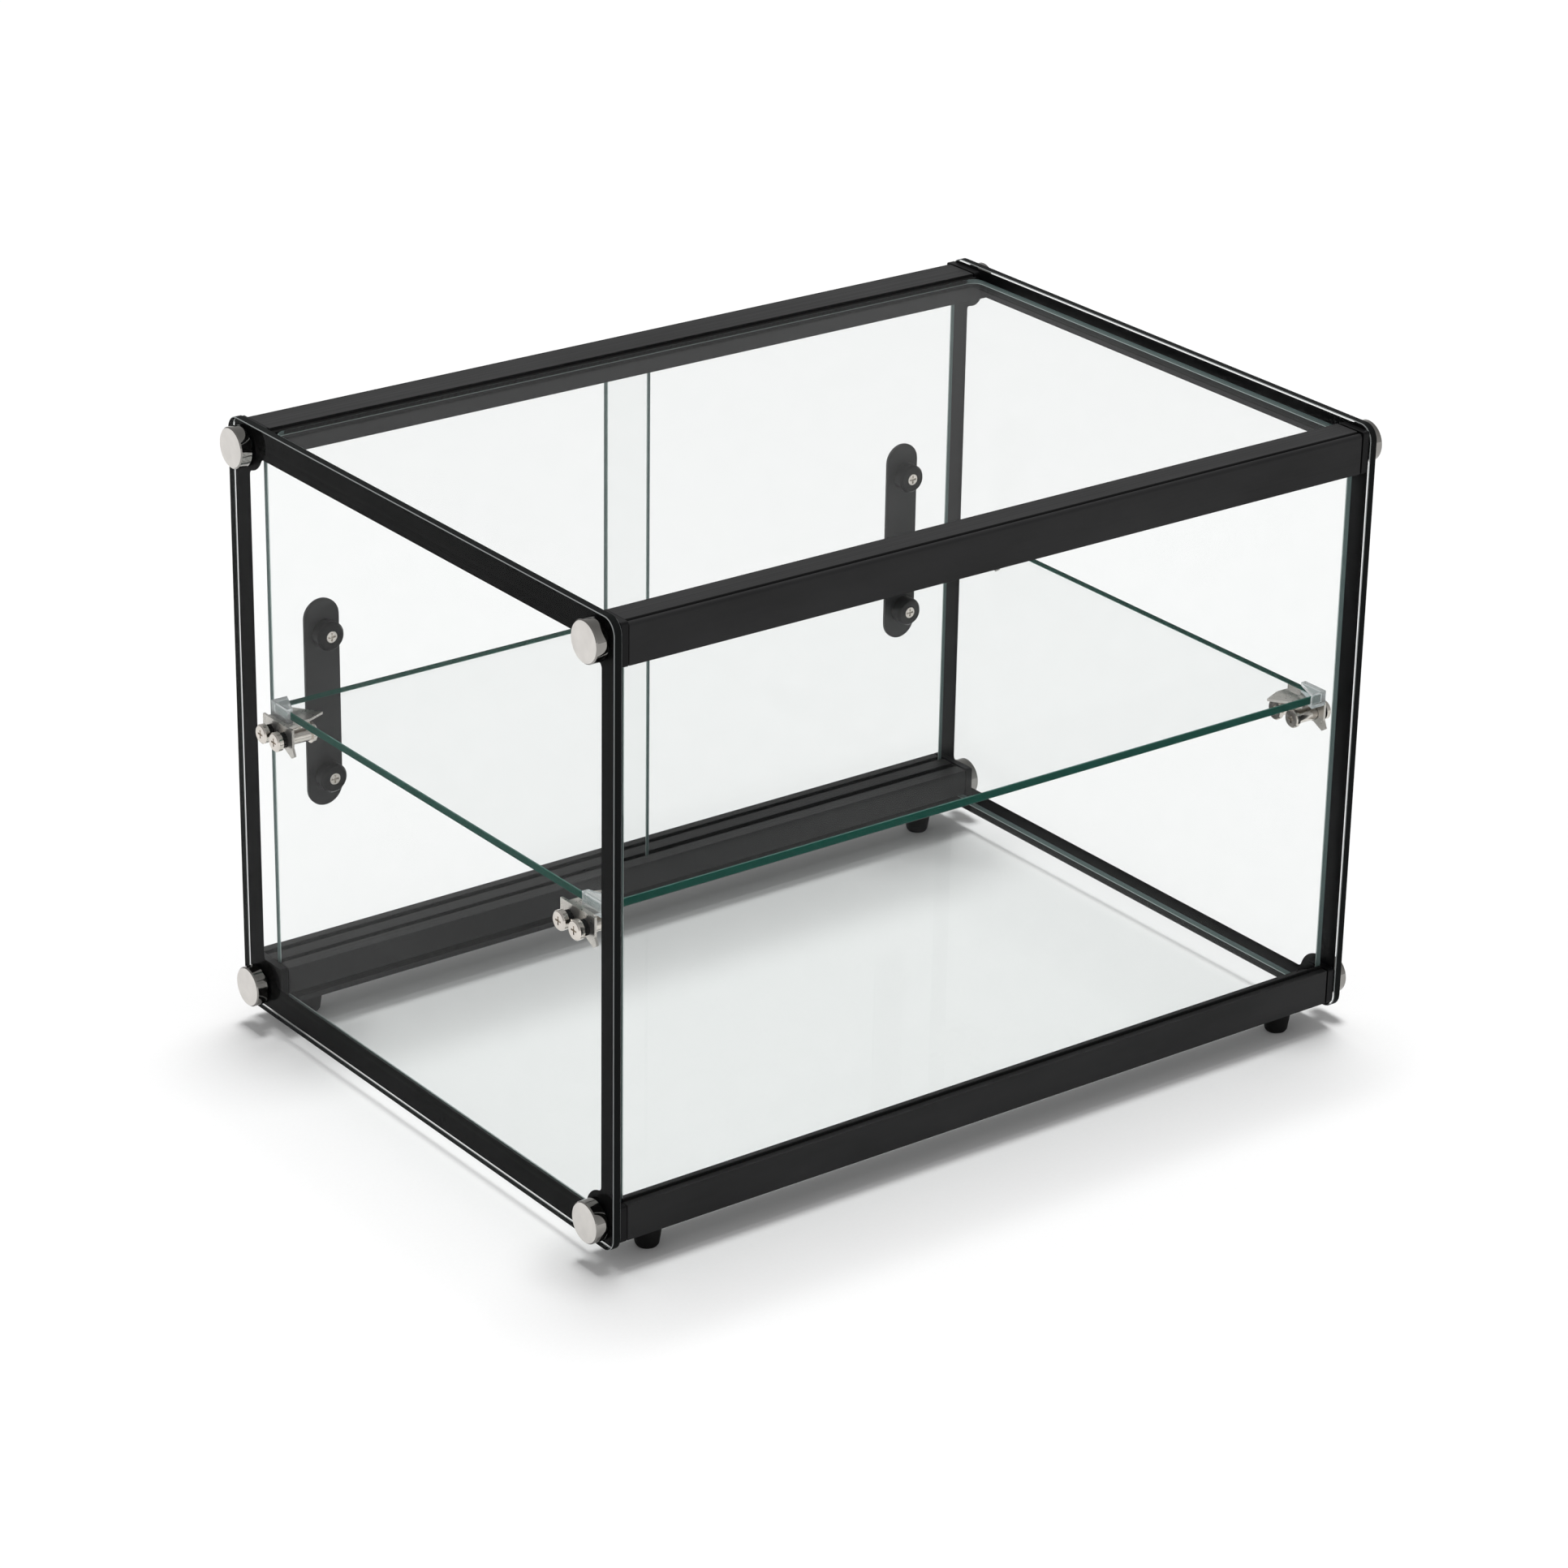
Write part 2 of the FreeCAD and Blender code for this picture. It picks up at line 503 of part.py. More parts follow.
def rear_low_rail():
    deck_low, deck_high = DECK_LOW, f"({DECK_HIGH} + glass_play)"
    slots = list(reversed(door_slots(REAR_LOW_HIGH, TRACK_FLOOR)))
    corners = [
        (REAR_IN, RAIL_BASE), (RAIL_BACK, RAIL_BASE), (RAIL_BACK, REAR_LOW_HIGH),
    ] + slots + [
        (REAR_IN, REAR_LOW_HIGH), (REAR_IN, deck_high), (DECK_REAR_SLOT, deck_high),
        (DECK_REAR_SLOT, deck_low), (REAR_IN, deck_low),
    ]
    web = "(bolt_dia / 2 + 1.4 * rail_wall)"
    chamber_high = f"({TRACK_FLOOR} - rail_wall)"
    inner_low = f"({deck_high} + rail_wall)"
    inner = ((f"{REAR_IN} + rail_wall", inner_low), (f"{BOLT_REAR} - {web}", inner_low),
             (f"{BOLT_REAR} - {web}", chamber_high), (f"{REAR_IN} + rail_wall", chamber_high))
    outer_low = f"({RAIL_BASE} + rail_wall)"
    outer = ((f"{BOLT_REAR} + {web}", outer_low), (f"{RAIL_BACK} - rail_wall", outer_low),
             (f"{RAIL_BACK} - rail_wall", chamber_high), (f"{BOLT_REAR} + {web}", chamber_high))
    body = rail("rear_low_rail", corners, (BOLT_REAR, BOLT_LOW), [inner, outer],
                rounding=lambda e: runs_along(e, "x") and near(e.BoundBox.YMax, RAIL_BACK)
                and near(e.BoundBox.ZMax, RAIL_BASE))
    foot_holes("rear_low_rail", body, FOOT_REAR)


# Each cap follows its rail's outline: bolt, then corners as Y, Z and the outward turn on each axis.
END_CAPS = (
    ("front_top", (BOLT_FRONT, BOLT_TOP), (
        (RAIL_FRONT, FRONT_TOP_LOW, -1, -1), (FRONT_TOP_IN, FRONT_TOP_LOW, 1, -1),
        (FRONT_TOP_IN, RAIL_TOP, 1, 1), (RAIL_FRONT, RAIL_TOP, -1, 1))),
    ("front_low", (BOLT_FRONT, BOLT_LOW), (
        (RAIL_FRONT, RAIL_BASE, -1, -1), (FRONT_LOW_IN, RAIL_BASE, 1, -1),
        (FRONT_LOW_IN, FLANGE_TOP, 1, 1), (FLANGE_OUT, FLANGE_TOP, 1, 1),
        (FLANGE_OUT, FRONT_LOW_HIGH, 1, 1), (RAIL_FRONT, FRONT_LOW_HIGH, -1, 1))),
    ("rear_top", (BOLT_REAR, BOLT_TOP), (
        (REAR_IN, REAR_TOP_LOW, -1, -1), (RAIL_BACK, REAR_TOP_LOW, 1, -1),
        (RAIL_BACK, RAIL_TOP, 1, 1), (ROOF_LIP, RAIL_TOP, -1, 1),
        (ROOF_LIP, ROOF_LOW, -1, 1), (REAR_IN, ROOF_LOW, -1, 1))),
    ("rear_low", (BOLT_REAR, BOLT_LOW), (
        (REAR_IN, RAIL_BASE, -1, -1), (RAIL_BACK, RAIL_BASE, 1, -1),
        (RAIL_BACK, REAR_LOW_HIGH, 1, 1), (REAR_IN, REAR_LOW_HIGH, -1, 1))),
)


def end_cap(name, bolt, corners, word, side):
    """A moulded cap between a rail's end and the side glass, with a shadow gap at its neck."""
    label = f"{name}_{word}_end_cap"
    body = new_body(label)
    stages = (("neck", "-end_cap_inset", RAIL_END, "end_cap_neck"),
              ("face", "end_cap_proud", f"{RAIL_END} + end_cap_neck", "end_cap - end_cap_neck"))
    for stage, proud, start, thick in stages:
        outline = [(f"{y} + {turn_y} * ({proud})", f"{z} + {turn_z} * ({proud})")
                   for y, z, turn_y, turn_z in corners]
        drawing = sketch(body, f"{label}_{stage}", "YZ_Plane", [outline],
                         lift=f"{side} * ({start})")
        pad(body, f"{label}_{stage}_pad", drawing, thick, back=side < 0)
    full = number("end_cap - end_cap_neck")
    dress(body, "Fillet", label + "_rounding", "end_cap_round",
          lambda e: runs_along(e, "x") and abs(e.Length - full) < 1e-4)
    plan = sketch(body, label + "_bolt_plan", "YZ_Plane", (),
                  [(bolt[0], bolt[1], "bolt_dia + bolt_play")])
    pocket(body, label + "_bolt_hole", plan)


# ---------------------------------------------------------------- gaskets and liners
def gaskets():
    """The strip that the front glass stands in, and the seal behind the top glass."""
    low, high = f"({PANE_FRONT} - gasket_wall)", f"({PANE_BACK} + front_glass_play)"
    floor = f"({FRONT_LOW_HIGH} - front_slot_low)"
    rim = f"({FRONT_LOW_HIGH} + gasket_proud)"
    lower = [(low, floor), (high, floor), (high, PANE_LOW), (PANE_FRONT, PANE_LOW),
             (PANE_FRONT, rim), (low, rim)]
    seal_low, seal_rim = ROOF_BACK, f"({ROOF_HIGH} - glass_play)"
    strip = [(seal_low, ROOF_LOW), (ROOF_LIP, ROOF_LOW), (ROOF_LIP, seal_rim), (seal_low, seal_rim)]
    for label, corners in (("front_glass_gasket", lower), ("top_glass_rear_seal", strip)):
        body = new_body(label)
        drawing = sketch(body, label + "_section", "YZ_Plane", [corners])
        pad(body, label + "_pad", drawing, f"2 * {RAIL_END}", middle=True)


def track_liners():
    """Plastic channels that line the door slots of the rear rails."""
    for label, level, end, turn in (("lower_track_liners", REAR_LOW_HIGH, TRACK_FLOOR, 1),
                                    ("upper_track_liners", REAR_TOP_LOW, HEAD_ROOF, -1)):
        channels = []
        for word, door in (("inner", INNER_DOOR), ("outer", OUTER_DOOR)):
            body = doc.addObject("PartDesign::Body", f"{label}_{word}")
            low, high = f"({door} - {SLOT_SIDE})", f"({door} + door_glass + {SLOT_SIDE})"
            floor = f"({end} + {turn} * liner_wall)"
            corners = [(low, end), (high, end), (high, level), (f"{high} - liner_wall", level),
                       (f"{high} - liner_wall", floor), (f"{low} + liner_wall", floor),
                       (f"{low} + liner_wall", level), (low, level)]
            drawing = sketch(body, f"{label}_{word}_section", "YZ_Plane", [corners])
            pad(body, f"{label}_{word}_pad", drawing, f"2 * {RAIL_END}", middle=True)
            channels.append(body)
        keep(group(label, channels), label)


# ---------------------------------------------------------------- corner fixings
def corner_fixings(word, side):
    """Washers, bushes, studs and flat caps that bolt one side glass to the four rails."""
    caps, washers, bushes, studs = [], [], [], []
    spots = [(y, z) for y in (BOLT_FRONT, BOLT_REAR) for z in (BOLT_TOP, BOLT_LOW)]
    cap_start = f"{GLASS_OUT} + washer_thick"
    bore = "bolt_dia + bolt_play"
    for i, (y, z) in enumerate(spots):
        tag = f"{word}_{i}"
        barrel = side_rod(f"cap_barrel_{tag}", side, cap_start, y, z, "cap_dia",
                          "cap_thick - cap_bevel")
        crown = side_rod(f"cap_crown_{tag}", side, f"{cap_start} + cap_thick - cap_bevel", y, z,
                         "cap_dia", "cap_bevel", "cap_dia - 2 * cap_bevel")
        socket = side_rod(f"cap_socket_{tag}", side, f"{cap_start} - 1", y, z, bore, "cap_bore + 1")
        caps.append(cut(f"cap_{tag}", fuse(f"cap_blank_{tag}", [barrel, crown]), [socket]))
        disc = side_rod(f"washer_disc_{tag}", side, GLASS_OUT, y, z, "washer_dia", "washer_thick")
        disc_hole = side_rod(f"washer_hole_{tag}", side, f"{GLASS_OUT} - 1", y, z, bore,
                             "washer_thick + 2")
        washers.append(cut(f"washer_{tag}", disc, [disc_hole]))
        sleeve = side_rod(f"bush_sleeve_{tag}", side, GLASS_IN, y, z, f"{bore} + 2 * bush_wall",
                          "side_glass")
        sleeve_hole = side_rod(f"bush_hole_{tag}", side, f"{GLASS_IN} - 1", y, z, bore,
                               "side_glass + 2")
        bushes.append(cut(f"bush_{tag}", sleeve, [sleeve_hole]))
        studs.append(side_rod(f"stud_{tag}", side, f"{RAIL_END} - bolt_length", y, z, "bolt_dia",
                              f"{cap_start} + cap_bore - {RAIL_END} + bolt_length"))
    for noun, members in (("corner_caps", caps), ("cap_washers", washers),
                          ("glass_bushes", bushes), ("corner_studs", studs)):
        keep(group(f"{word}_{noun}", members), f"{word}_{noun}")


# ---------------------------------------------------------------- shelf supports
def cross_recess(name, side, x_face, y, z, inward):
    """The tools that cut a cross recess into a screw head's face on one side of the case."""
    low, high = (f"{x_face} - cross_depth", f"{x_face} + 1")
    if inward:
        low, high = f"{x_face} - 1", f"{x_face} + cross_depth"
    ends = (f"{side} * ({low})", f"{side} * ({high})")
    x_low, x_high = ends if side > 0 else (ends[1], ends[0])
    half, thin = "cross_length / 2", "cross_width / 2"
    bar = block(f"{name}_bar", x_low, x_high, f"{y} - {half}", f"{y} + {half}",
                f"{z} - {thin}", f"{z} + {thin}")
    post = block(f"{name}_post", x_low, x_high, f"{y} - {thin}", f"{y} + {thin}",
                 f"{z} - {half}", f"{z} + {half}")
    return [bar, post]


def head(name, side, x_seat, y, z, outward, dia, thick):
    """A flat round screw head with a bevelled rim, outwards or inwards from its seat."""
    rim = f"{thick} / 4"
    turn = side if outward else -side
    seat = x_seat if outward else f"-({x_seat})"
    drum = side_rod(f"{name}_drum", turn, seat, y, z, dia, f"{thick} - {rim}")
    crown = side_rod(f"{name}_crown", turn, f"{seat} + {thick} - {rim}", y, z, dia, rim,
                     f"{dia} - 2 * {rim}")
    return [drum, crown]


def shelf_support(word, side, end, edge, inward):
    """One corner of the shelf: bracket, two posts through the glass, their screws and the boot."""
    tag = f"{end}_{word}"
    spots = [post_place(edge, inward, i) for i in (0, 1)]
    shoulder = f"({GLASS_IN} - post_reach + post_inner_thick)"
    inner_face = f"({GLASS_IN} - post_reach)"
    outer_face = f"({GLASS_OUT} + post_outer_thick)"
    screw_end = f"({GLASS_OUT} - post_screw_reach)"
    posts, screws = [], []
    for i, y in enumerate(spots):
        name = f"{tag}_{i}"
        barrel = side_rod(f"post_barrel_{name}", side, shoulder, y, POST_Z, "post_dia",
                          f"{GLASS_OUT} - {shoulder}")
        drums = head(f"post_{name}", side, shoulder, y, POST_Z, False, "post_inner_head",
                     "post_inner_thick")
        bore = side_rod(f"post_bore_{name}", side, screw_end, y, POST_Z,
                        "post_screw + bolt_play", "post_screw_reach + 1")
        recess = cross_recess(f"post_cross_{name}", side, inner_face, y, POST_Z, True)
        posts.append(cut(f"post_{name}", fuse(f"post_blank_{name}", [barrel] + drums),
                         [bore] + recess))
        shank = side_rod(f"screw_shank_{name}", side, screw_end, y, POST_Z, "post_screw",
                         "post_screw_reach + post_outer_thick / 2")
        drums = head(f"screw_{name}", side, GLASS_OUT, y, POST_Z, True, "post_outer_head",
                     "post_outer_thick")
        recess = cross_recess(f"screw_cross_{name}", side, outer_face, y, POST_Z, False)
        screws.append(cut(f"screw_{name}", fuse(f"screw_blank_{name}", [shank] + drums), recess))
    bracket(tag, side, edge, inward, spots)
    boot(tag, side, end)
    return posts, screws


def bracket(tag, side, edge, inward, spots):
    """A stamped angle: a plate on the side glass with an ear, and a pointed leg under the shelf."""
    label = f"{tag}_shelf_bracket"
    body = new_body(label)
    near_end, far_end = "post_near - bracket_margin", "post_near + post_pitch + bracket_margin"
    # the ear always hangs at the end towards the front
    front_end, rear_end = (near_end, far_end) if inward > 0 else (far_end, near_end)

    def y(distance, toward_back=0):
        return f"{edge} + {inward} * ({distance}) + ({toward_back})"

    low = f"({BOOT_LOW} - bracket_height)"
    corners = [
        (y(front_end), BOOT_LOW), (y(front_end), f"{low} + 3"),
        (y(front_end, "-2"), f"{low} - ear_drop + 2"), (y(front_end, "1"), f"{low} - ear_drop"),
        (y(front_end, "8"), low), (y(rear_end, "-3"), low), (y(rear_end), f"{low} + 3"),
        (y(rear_end), BOOT_LOW),
    ]
    root = f"({GLASS_IN} - bracket_film)"
    plate_start = f"({root} - bracket_thick)" if side > 0 else f"-{root}"
    drawing = sketch(body, label + "_plate", "YZ_Plane", [corners], lift=plate_start)
    pad(body, label + "_pad", drawing, "bracket_thick")
    tip = f"({GLASS_IN} - bracket_reach)"
    neck = f"({tip} + bracket_tip)"
    leg_end = "post_near - leg_margin"
    leg = [(f"{side} * {root}", y(leg_end)), (f"{side} * {neck}", y(leg_end)),
           (f"{side} * {tip}", y("post_near + post_pitch - 2")),
           (f"{side} * {neck}", y("post_near + post_pitch + 3")),
           (f"{side} * {root}", y("post_near + post_pitch + 3"))]
    leg_plan = sketch(body, label + "_leg", "XY_Plane", [leg], lift=f"{BOOT_LOW} - bracket_thick")
    pad(body, label + "_leg_pad", leg_plan, "bracket_thick")
    holes = [(spot, POST_Z, "post_dia + post_hole_play / 2") for spot in spots]
    pocket(body, label + "_holes", sketch(body, label + "_hole_plan", "YZ_Plane", (), holes))


def boot(tag, side, end):
    """A clear soft corner, narrower towards the middle of the case, pushed over the shelf."""
    label = f"{tag}_shelf_boot"
    turn = -1 if end == "front" else 1
    shelf_edge = f"({FRONT} + shelf_front)" if end == "front" else f"({BACK} - shelf_rear)"
    outer_y = f"({shelf_edge} + {turn} * (boot_fit + boot_wall))"
    inner_y = f"({outer_y} - {turn} * boot_along)"
    shell = doc.addObject("PartDesign::Body", label + "_shell")
    outline = [(f"{side} * {BOOT_OUT}", outer_y), (f"{side} * ({BOOT_OUT} - boot_across)", outer_y),
               (f"{side} * ({BOOT_OUT} - boot_narrow)", inner_y), (f"{side} * {BOOT_OUT}", inner_y)]
    drawing = sketch(shell, label + "_outline", "XY_Plane", [outline], lift=BOOT_LOW)
    pad(shell, label + "_pad", drawing, f"{SHELF_HIGH} + boot_fit + boot_wall - {BOOT_LOW}")
    x_pocket, x_open = f"({SHELF_END} + boot_fit)", f"({SHELF_END} - boot_across)"
    xs = (x_open, x_pocket) if side > 0 else (f"-{x_pocket}", f"-{x_open}")
    pocket_y = f"({shelf_edge} + {turn} * boot_fit)"
    open_y = f"({inner_y} - {turn})"
    ys = (pocket_y, open_y) if end == "front" else (open_y, pocket_y)
    cavity = block(label + "_cavity", *xs, *ys, SHELF_LOW, f"{SHELF_HIGH} + boot_fit")
    keep(cut(label, shell, [cavity]), label)


# ---------------------------------------------------------------- doors
def door(word, side, plane):
    """A sliding glass with a flat pull outside and two screwed knobs inside."""
    x_outer, x_meet = f"{side} * {DOOR_SIDE}", f"{-side} * door_overlap / 2"
    xs = (x_meet, x_outer) if side > 0 else (x_outer, x_meet)
    label = f"{word}_door_glass"
    body = new_body(label)
    far = f"({plane} + door_glass)"
    outline = [(xs[0], plane), (xs[1], plane), (xs[1], far), (xs[0], far)]
    drawing = sketch(body, label + "_outline", "XY_Plane", [outline], lift=DOOR_LOW)
    pad(body, label + "_pad", drawing, f"{DOOR_HIGH} - {DOOR_LOW}")
    dress(body, "Chamfer", label + "_arris", "arris", lambda e: True)
    x = f"{side} * {HANDLE_X}"
    spots = [f"({HANDLE_Z} + {turn} * knob_pitch / 2)" for turn in (-1, 1)]
    # the XZ plane's sketch normal points to the front
    holes = [(x, z, "knob_screw + bolt_play") for z in spots]
    pocket(body, label + "_holes", sketch(body, label + "_hole_plan", "XZ_Plane", (), holes))
    pull_strip(word, x, far, spots)
    knobs, screws = [], []
    for i, z in enumerate(spots):
        tag = f"{word}_{i}"
        flange = depth_rod(f"knob_flange_{tag}", x, plane, z, "knob_dia", "knob_height - knob_lip", -1)
        lip = depth_rod(f"knob_lip_{tag}", x, f"{plane} - knob_height + knob_lip", z, "knob_dia",
                        "knob_lip", -1, "knob_lip_dia")
        drum = fuse(f"knob_blank_{tag}", [flange, lip])
        bore = depth_rod(f"knob_bore_{tag}", x, f"{plane} + 1", z, "knob_screw + bolt_play",
                         "knob_height + 2", -1)
        seat = depth_rod(f"knob_seat_{tag}", x, f"{plane} - knob_height + knob_screw_thick", z,
                         "knob_screw_head + bolt_play", "knob_screw_thick + 1", -1)
        knobs.append(cut(f"knob_{tag}", drum, [bore, seat]))
        screw_head = depth_rod(f"knob_screw_head_{tag}", x, f"{plane} - knob_height", z,
                               "knob_screw_head", "knob_screw_thick")
        shank = depth_rod(f"knob_screw_shank_{tag}", x, f"{plane} - knob_height", z, "knob_screw",
                          "knob_height + door_glass + handle_thick - glass_play")
        half, thin, face = "cross_length / 2", "cross_width / 2", f"({plane} - knob_height)"
        bar = block(f"knob_cross_bar_{tag}", f"{x} - {half}", f"{x} + {half}", f"{face} - 1",
                    f"{face} + cross_depth", f"{z} - {thin}", f"{z} + {thin}")
        post = block(f"knob_cross_post_{tag}", f"{x} - {thin}", f"{x} + {thin}", f"{face} - 1",
                     f"{face} + cross_depth", f"{z} - {half}", f"{z} + {half}")
        screws.append(cut(f"knob_screw_{tag}", fuse(f"knob_screw_blank_{tag}", [screw_head, shank]),
                          [bar, post]))
    keep(group(f"{word}_door_knobs", knobs), f"{word}_door_knobs")
    keep(group(f"{word}_door_screws", screws), f"{word}_door_screws")


def pull_strip(word, x, face, spots):
    """The flat pull with round ends on a door's outer face, tapped for its two screws."""
    label = f"{word}_door_pull"
    body = new_body(label)
    half_wide, half_long = "handle_width / 2", "handle_length / 2"
    outline = [(f"{x} - {half_wide}", f"{face}"), (f"{x} + {half_wide}", f"{face}"),
               (f"{x} + {half_wide}", f"{face} + handle_thick"),
               (f"{x} - {half_wide}", f"{face} + handle_thick")]
    drawing = sketch(body, label + "_outline", "XY_Plane", [outline],
                     lift=f"{HANDLE_Z} - {half_long}")
    pad(body, label + "_pad", drawing, "handle_length")
    dress(body, "Fillet", label + "_ends", "handle_width / 2 - 0.02", lambda e: runs_along(e, "y"))
    dress(body, "Fillet", label + "_rim", "handle_round",
          lambda e: near(e.BoundBox.YMin, f"{face} + handle_thick"))
    holes = [(x, z, "knob_screw + bolt_play") for z in spots]
    pocket(body, label + "_holes", sketch(body, label + "_hole_plan", "XZ_Plane", (), holes))


# ---------------------------------------------------------------- feet
def feet():
    """Four tapered rubber feet screwed up into the low rails."""
    screws = []
    for word, side in SIDES:
        for end, y in (("front", FOOT_FRONT), ("rear", FOOT_REAR)):
            label = f"{end}_{word}_foot"
            x = f"{side} * {FOOT_X}"
            tip = upright_rod(label + "_tip", x, y, "0", "foot_tip_dia - foot_tip_draw", "foot_tip",
                              "foot_tip_dia")
            cone = upright_rod(label + "_cone", x, y, "foot_tip", "foot_tip_dia",
                               f"{RAIL_BASE} - foot_tip", "foot_top_dia")
            recess = upright_rod(label + "_recess", x, y, "-1", "foot_screw_head + bolt_play",
                                 "foot_recess + 1")
            hole = upright_rod(label + "_hole", x, y, "0", "foot_screw + bolt_play",
                               f"{RAIL_BASE} + 1")
            keep(cut(label, fuse(label + "_blank", [tip, cone]), [recess, hole]), label)
            drum = upright_rod(label + "_screw_head", x, y, "foot_recess - foot_screw_thick",
                               "foot_screw_head", "foot_screw_thick")
            shank = upright_rod(label + "_screw_shank", x, y, "foot_recess - foot_screw_thick",
                                "foot_screw", f"{RAIL_BASE} + foot_screw_bite - foot_recess"
                                " + foot_screw_thick")
            screws.append(fuse(label + "_screw", [drum, shank]))
    keep(group("foot_screws", screws), "foot_screws")


# ---------------------------------------------------------------- assembly
for word, side in SIDES:
    side_panel(word, side)
    ink_border(word, side)
    corner_fixings(word, side)
    for cap in END_CAPS:
        end_cap(*cap, word, side)

front_top_rail()
front_low_rail()
rear_top_rail()
rear_low_rail()
gaskets()
track_liners()

WIDE = (f"-{RAIL_END} + glass_play", f"{RAIL_END} - glass_play")
plate("top_glass", *WIDE, f"{ROOF_SLOT} + glass_play", ROOF_BACK, ROOF_LOW, ROOF_HIGH, "top_corner")
plate("front_glass", *WIDE, PANE_FRONT, PANE_BACK, PANE_LOW, PANE_HIGH)
plate("base_glass", *WIDE, f"{DECK_FRONT_SLOT} + gasket_bed", f"{DECK_REAR_SLOT} - gasket_bed",
      DECK_LOW, DECK_HIGH)
plate("shelf_glass", f"-{SHELF_END}", SHELF_END, f"{FRONT} + shelf_front",
      f"{BACK} - shelf_rear", SHELF_LOW, SHELF_HIGH)

for word, side in SIDES:
    side_posts, side_screws = [], []
    for end, edge, inward in ENDS:
        posts, screws = shelf_support(word, side, end, edge, inward)
        side_posts += posts
        side_screws += screws
    keep(group(f"{word}_shelf_posts", side_posts), f"{word}_shelf_posts")
    keep(group(f"{word}_shelf_screws", side_screws), f"{word}_shelf_screws")

door("left", -1, INNER_DOOR)
door("right", 1, OUTER_DOOR)
feet()
doc.recompute()

# ---------------------------------------------------------------- checks and export
for obj in doc.Objects:
    if "Invalid" in obj.State or "Error" in obj.State:
        raise RuntimeError(f"{obj.Label} failed to recompute: {obj.State}")
for obj, tools in cuts:
    for tool in tools:
        if not obj.Base.Shape.common(tool.Shape).Volume > 0:
            raise RuntimeError(f"{tool.Label} takes nothing out of {obj.Base.Label}")
labels = [piece.Label for piece in pieces]
if len(set(labels)) != len(labels):
    raise RuntimeError("two pieces share a name")
for piece in pieces:
    if piece.Shape.isNull() or not piece.Shape.isValid() or not piece.Shape.Solids:
        raise RuntimeError(f"{piece.Label} has no valid solid")

os.makedirs("parts", exist_ok=True)
for piece in pieces:
    piece.Shape.exportStep(os.path.join("parts", piece.Label + ".step"))
print(len(pieces), "pieces written")
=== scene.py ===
import math

import bmesh
import bpy
from bpy.props import FloatProperty, FloatVectorProperty, PointerProperty
from bpy.types import Operator, Panel, PropertyGroup
from mathutils import Matrix, Vector

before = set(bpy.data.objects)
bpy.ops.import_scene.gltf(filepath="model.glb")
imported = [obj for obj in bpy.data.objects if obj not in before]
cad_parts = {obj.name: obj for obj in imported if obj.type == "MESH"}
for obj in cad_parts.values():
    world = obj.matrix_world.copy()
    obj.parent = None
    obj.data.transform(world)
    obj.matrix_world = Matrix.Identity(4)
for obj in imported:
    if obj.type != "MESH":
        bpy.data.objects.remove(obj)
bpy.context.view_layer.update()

bl_info = {
    "name": "Tabletop Display Case",
    "version": (1, 0, 0),
    "blender": (4, 5, 0),
    "location": "3D View > Sidebar > Display Case",
    "description": "Glass, rails, fittings and studio of a tabletop display case",
    "category": "Object",
}

PANE_AXES = {
    "left_side_glass": 0, "right_side_glass": 0, "front_glass": 1, "top_glass": 2, "base_glass": 2,
    "shelf_glass": 2, "left_door_glass": 1, "right_door_glass": 1,
}

# how squarely a face looks along its pane's or cap's axis
EDGE_LIMIT = 0.3        # below this it is the ground edge
ARRIS_LIMIT = 0.9       # below this it is the arris, above it the polished face

# panes
PANE_BEND = 1.1                     # low, as on display glass with a coating against reflections
PANE_GLEAM = 0.15                   # specular level
PANE_ROUGH = (0.22, 0.12, 0.0)      # roughness of ground edge, arris and face
PANE_CLEARNESS = (0.0, 0.25, 1.0)   # share of light let through by ground edge, arris and face
PANE_MOTTLE = 70                    # cells per metre, like every other fineness below
PALE = ((0.988, 0.990, 0.989), (1.0, 1.0, 1.0))     # dark and light of the mottle

# rails and pulls
RAIL_GLEAM = 0.12               # specular level
RAIL_ETCH = 1400                # fineness of the etched grain
RAIL_CLOUD = 9
RAIL_TONES = (0.75, 1.3)        # darkest and lightest share of the colour
RAIL_WEAR = (0.06, 0.07)        # how far the roughness goes down and up
RAIL_BUMP = 0.12
DIE_LINES = (1.5, 900, 900)     # long along X, fine across it
DIE_STREAKS = (1, 3, 3)

# mouldings, rubber and enamel
DARK_GLEAM = 0.1                # specular level
MOULD_SPARK = 900               # fineness of the spark-eroded grain
MOULD_DEPTH = 0.00003           # metres
MOULD_CLOUD = 25
MOULD_TONES = (0.8, 1.25)
MOULD_WEAR = (0.06, 0.06)
MOULD_BUMP = 0.25
ENAMEL_WAVE = 60                # coarse, so the fired enamel looks smooth
ENAMEL_DEPTH = 0.000005
RUBBER_SPARK = 700
RUBBER_DEPTH = 0.00004
FOOT_SPARK = 500
FOOT_DEPTH = 0.00005

# metal
METAL_MARKS = 300               # fineness of the tool marks
METAL_DEPTH = 0.00002           # metres
METAL_CLOUD = 120
METAL_TONES = (0.88, 1.05)
METAL_WEAR = (0.06, 0.08)
METAL_BUMP = 0.08
CAP_MARKS = 500
CAP_ROUGH = (0.07, 0.12, 0.3)   # roughness of rim, chamfer and face
CAP_AXIS = 0                    # the caps face along X
TARNISH = ((0.9, 0.9, 0.9), (1.0, 1.0, 1.0))        # dark and light of the caps' cloud
LEAST_ROUGH = 0.03

# clear boots
BOOT_BEND = 1.3                 # index of refraction
BOOT_CLEARNESS = 0.8            # share of light let through
BOOT_CLOUD = 260
BOOT_TONES = (0.9, 1.0)
BOOT_ROUGH = (0.06, 0.16)       # least and most roughness

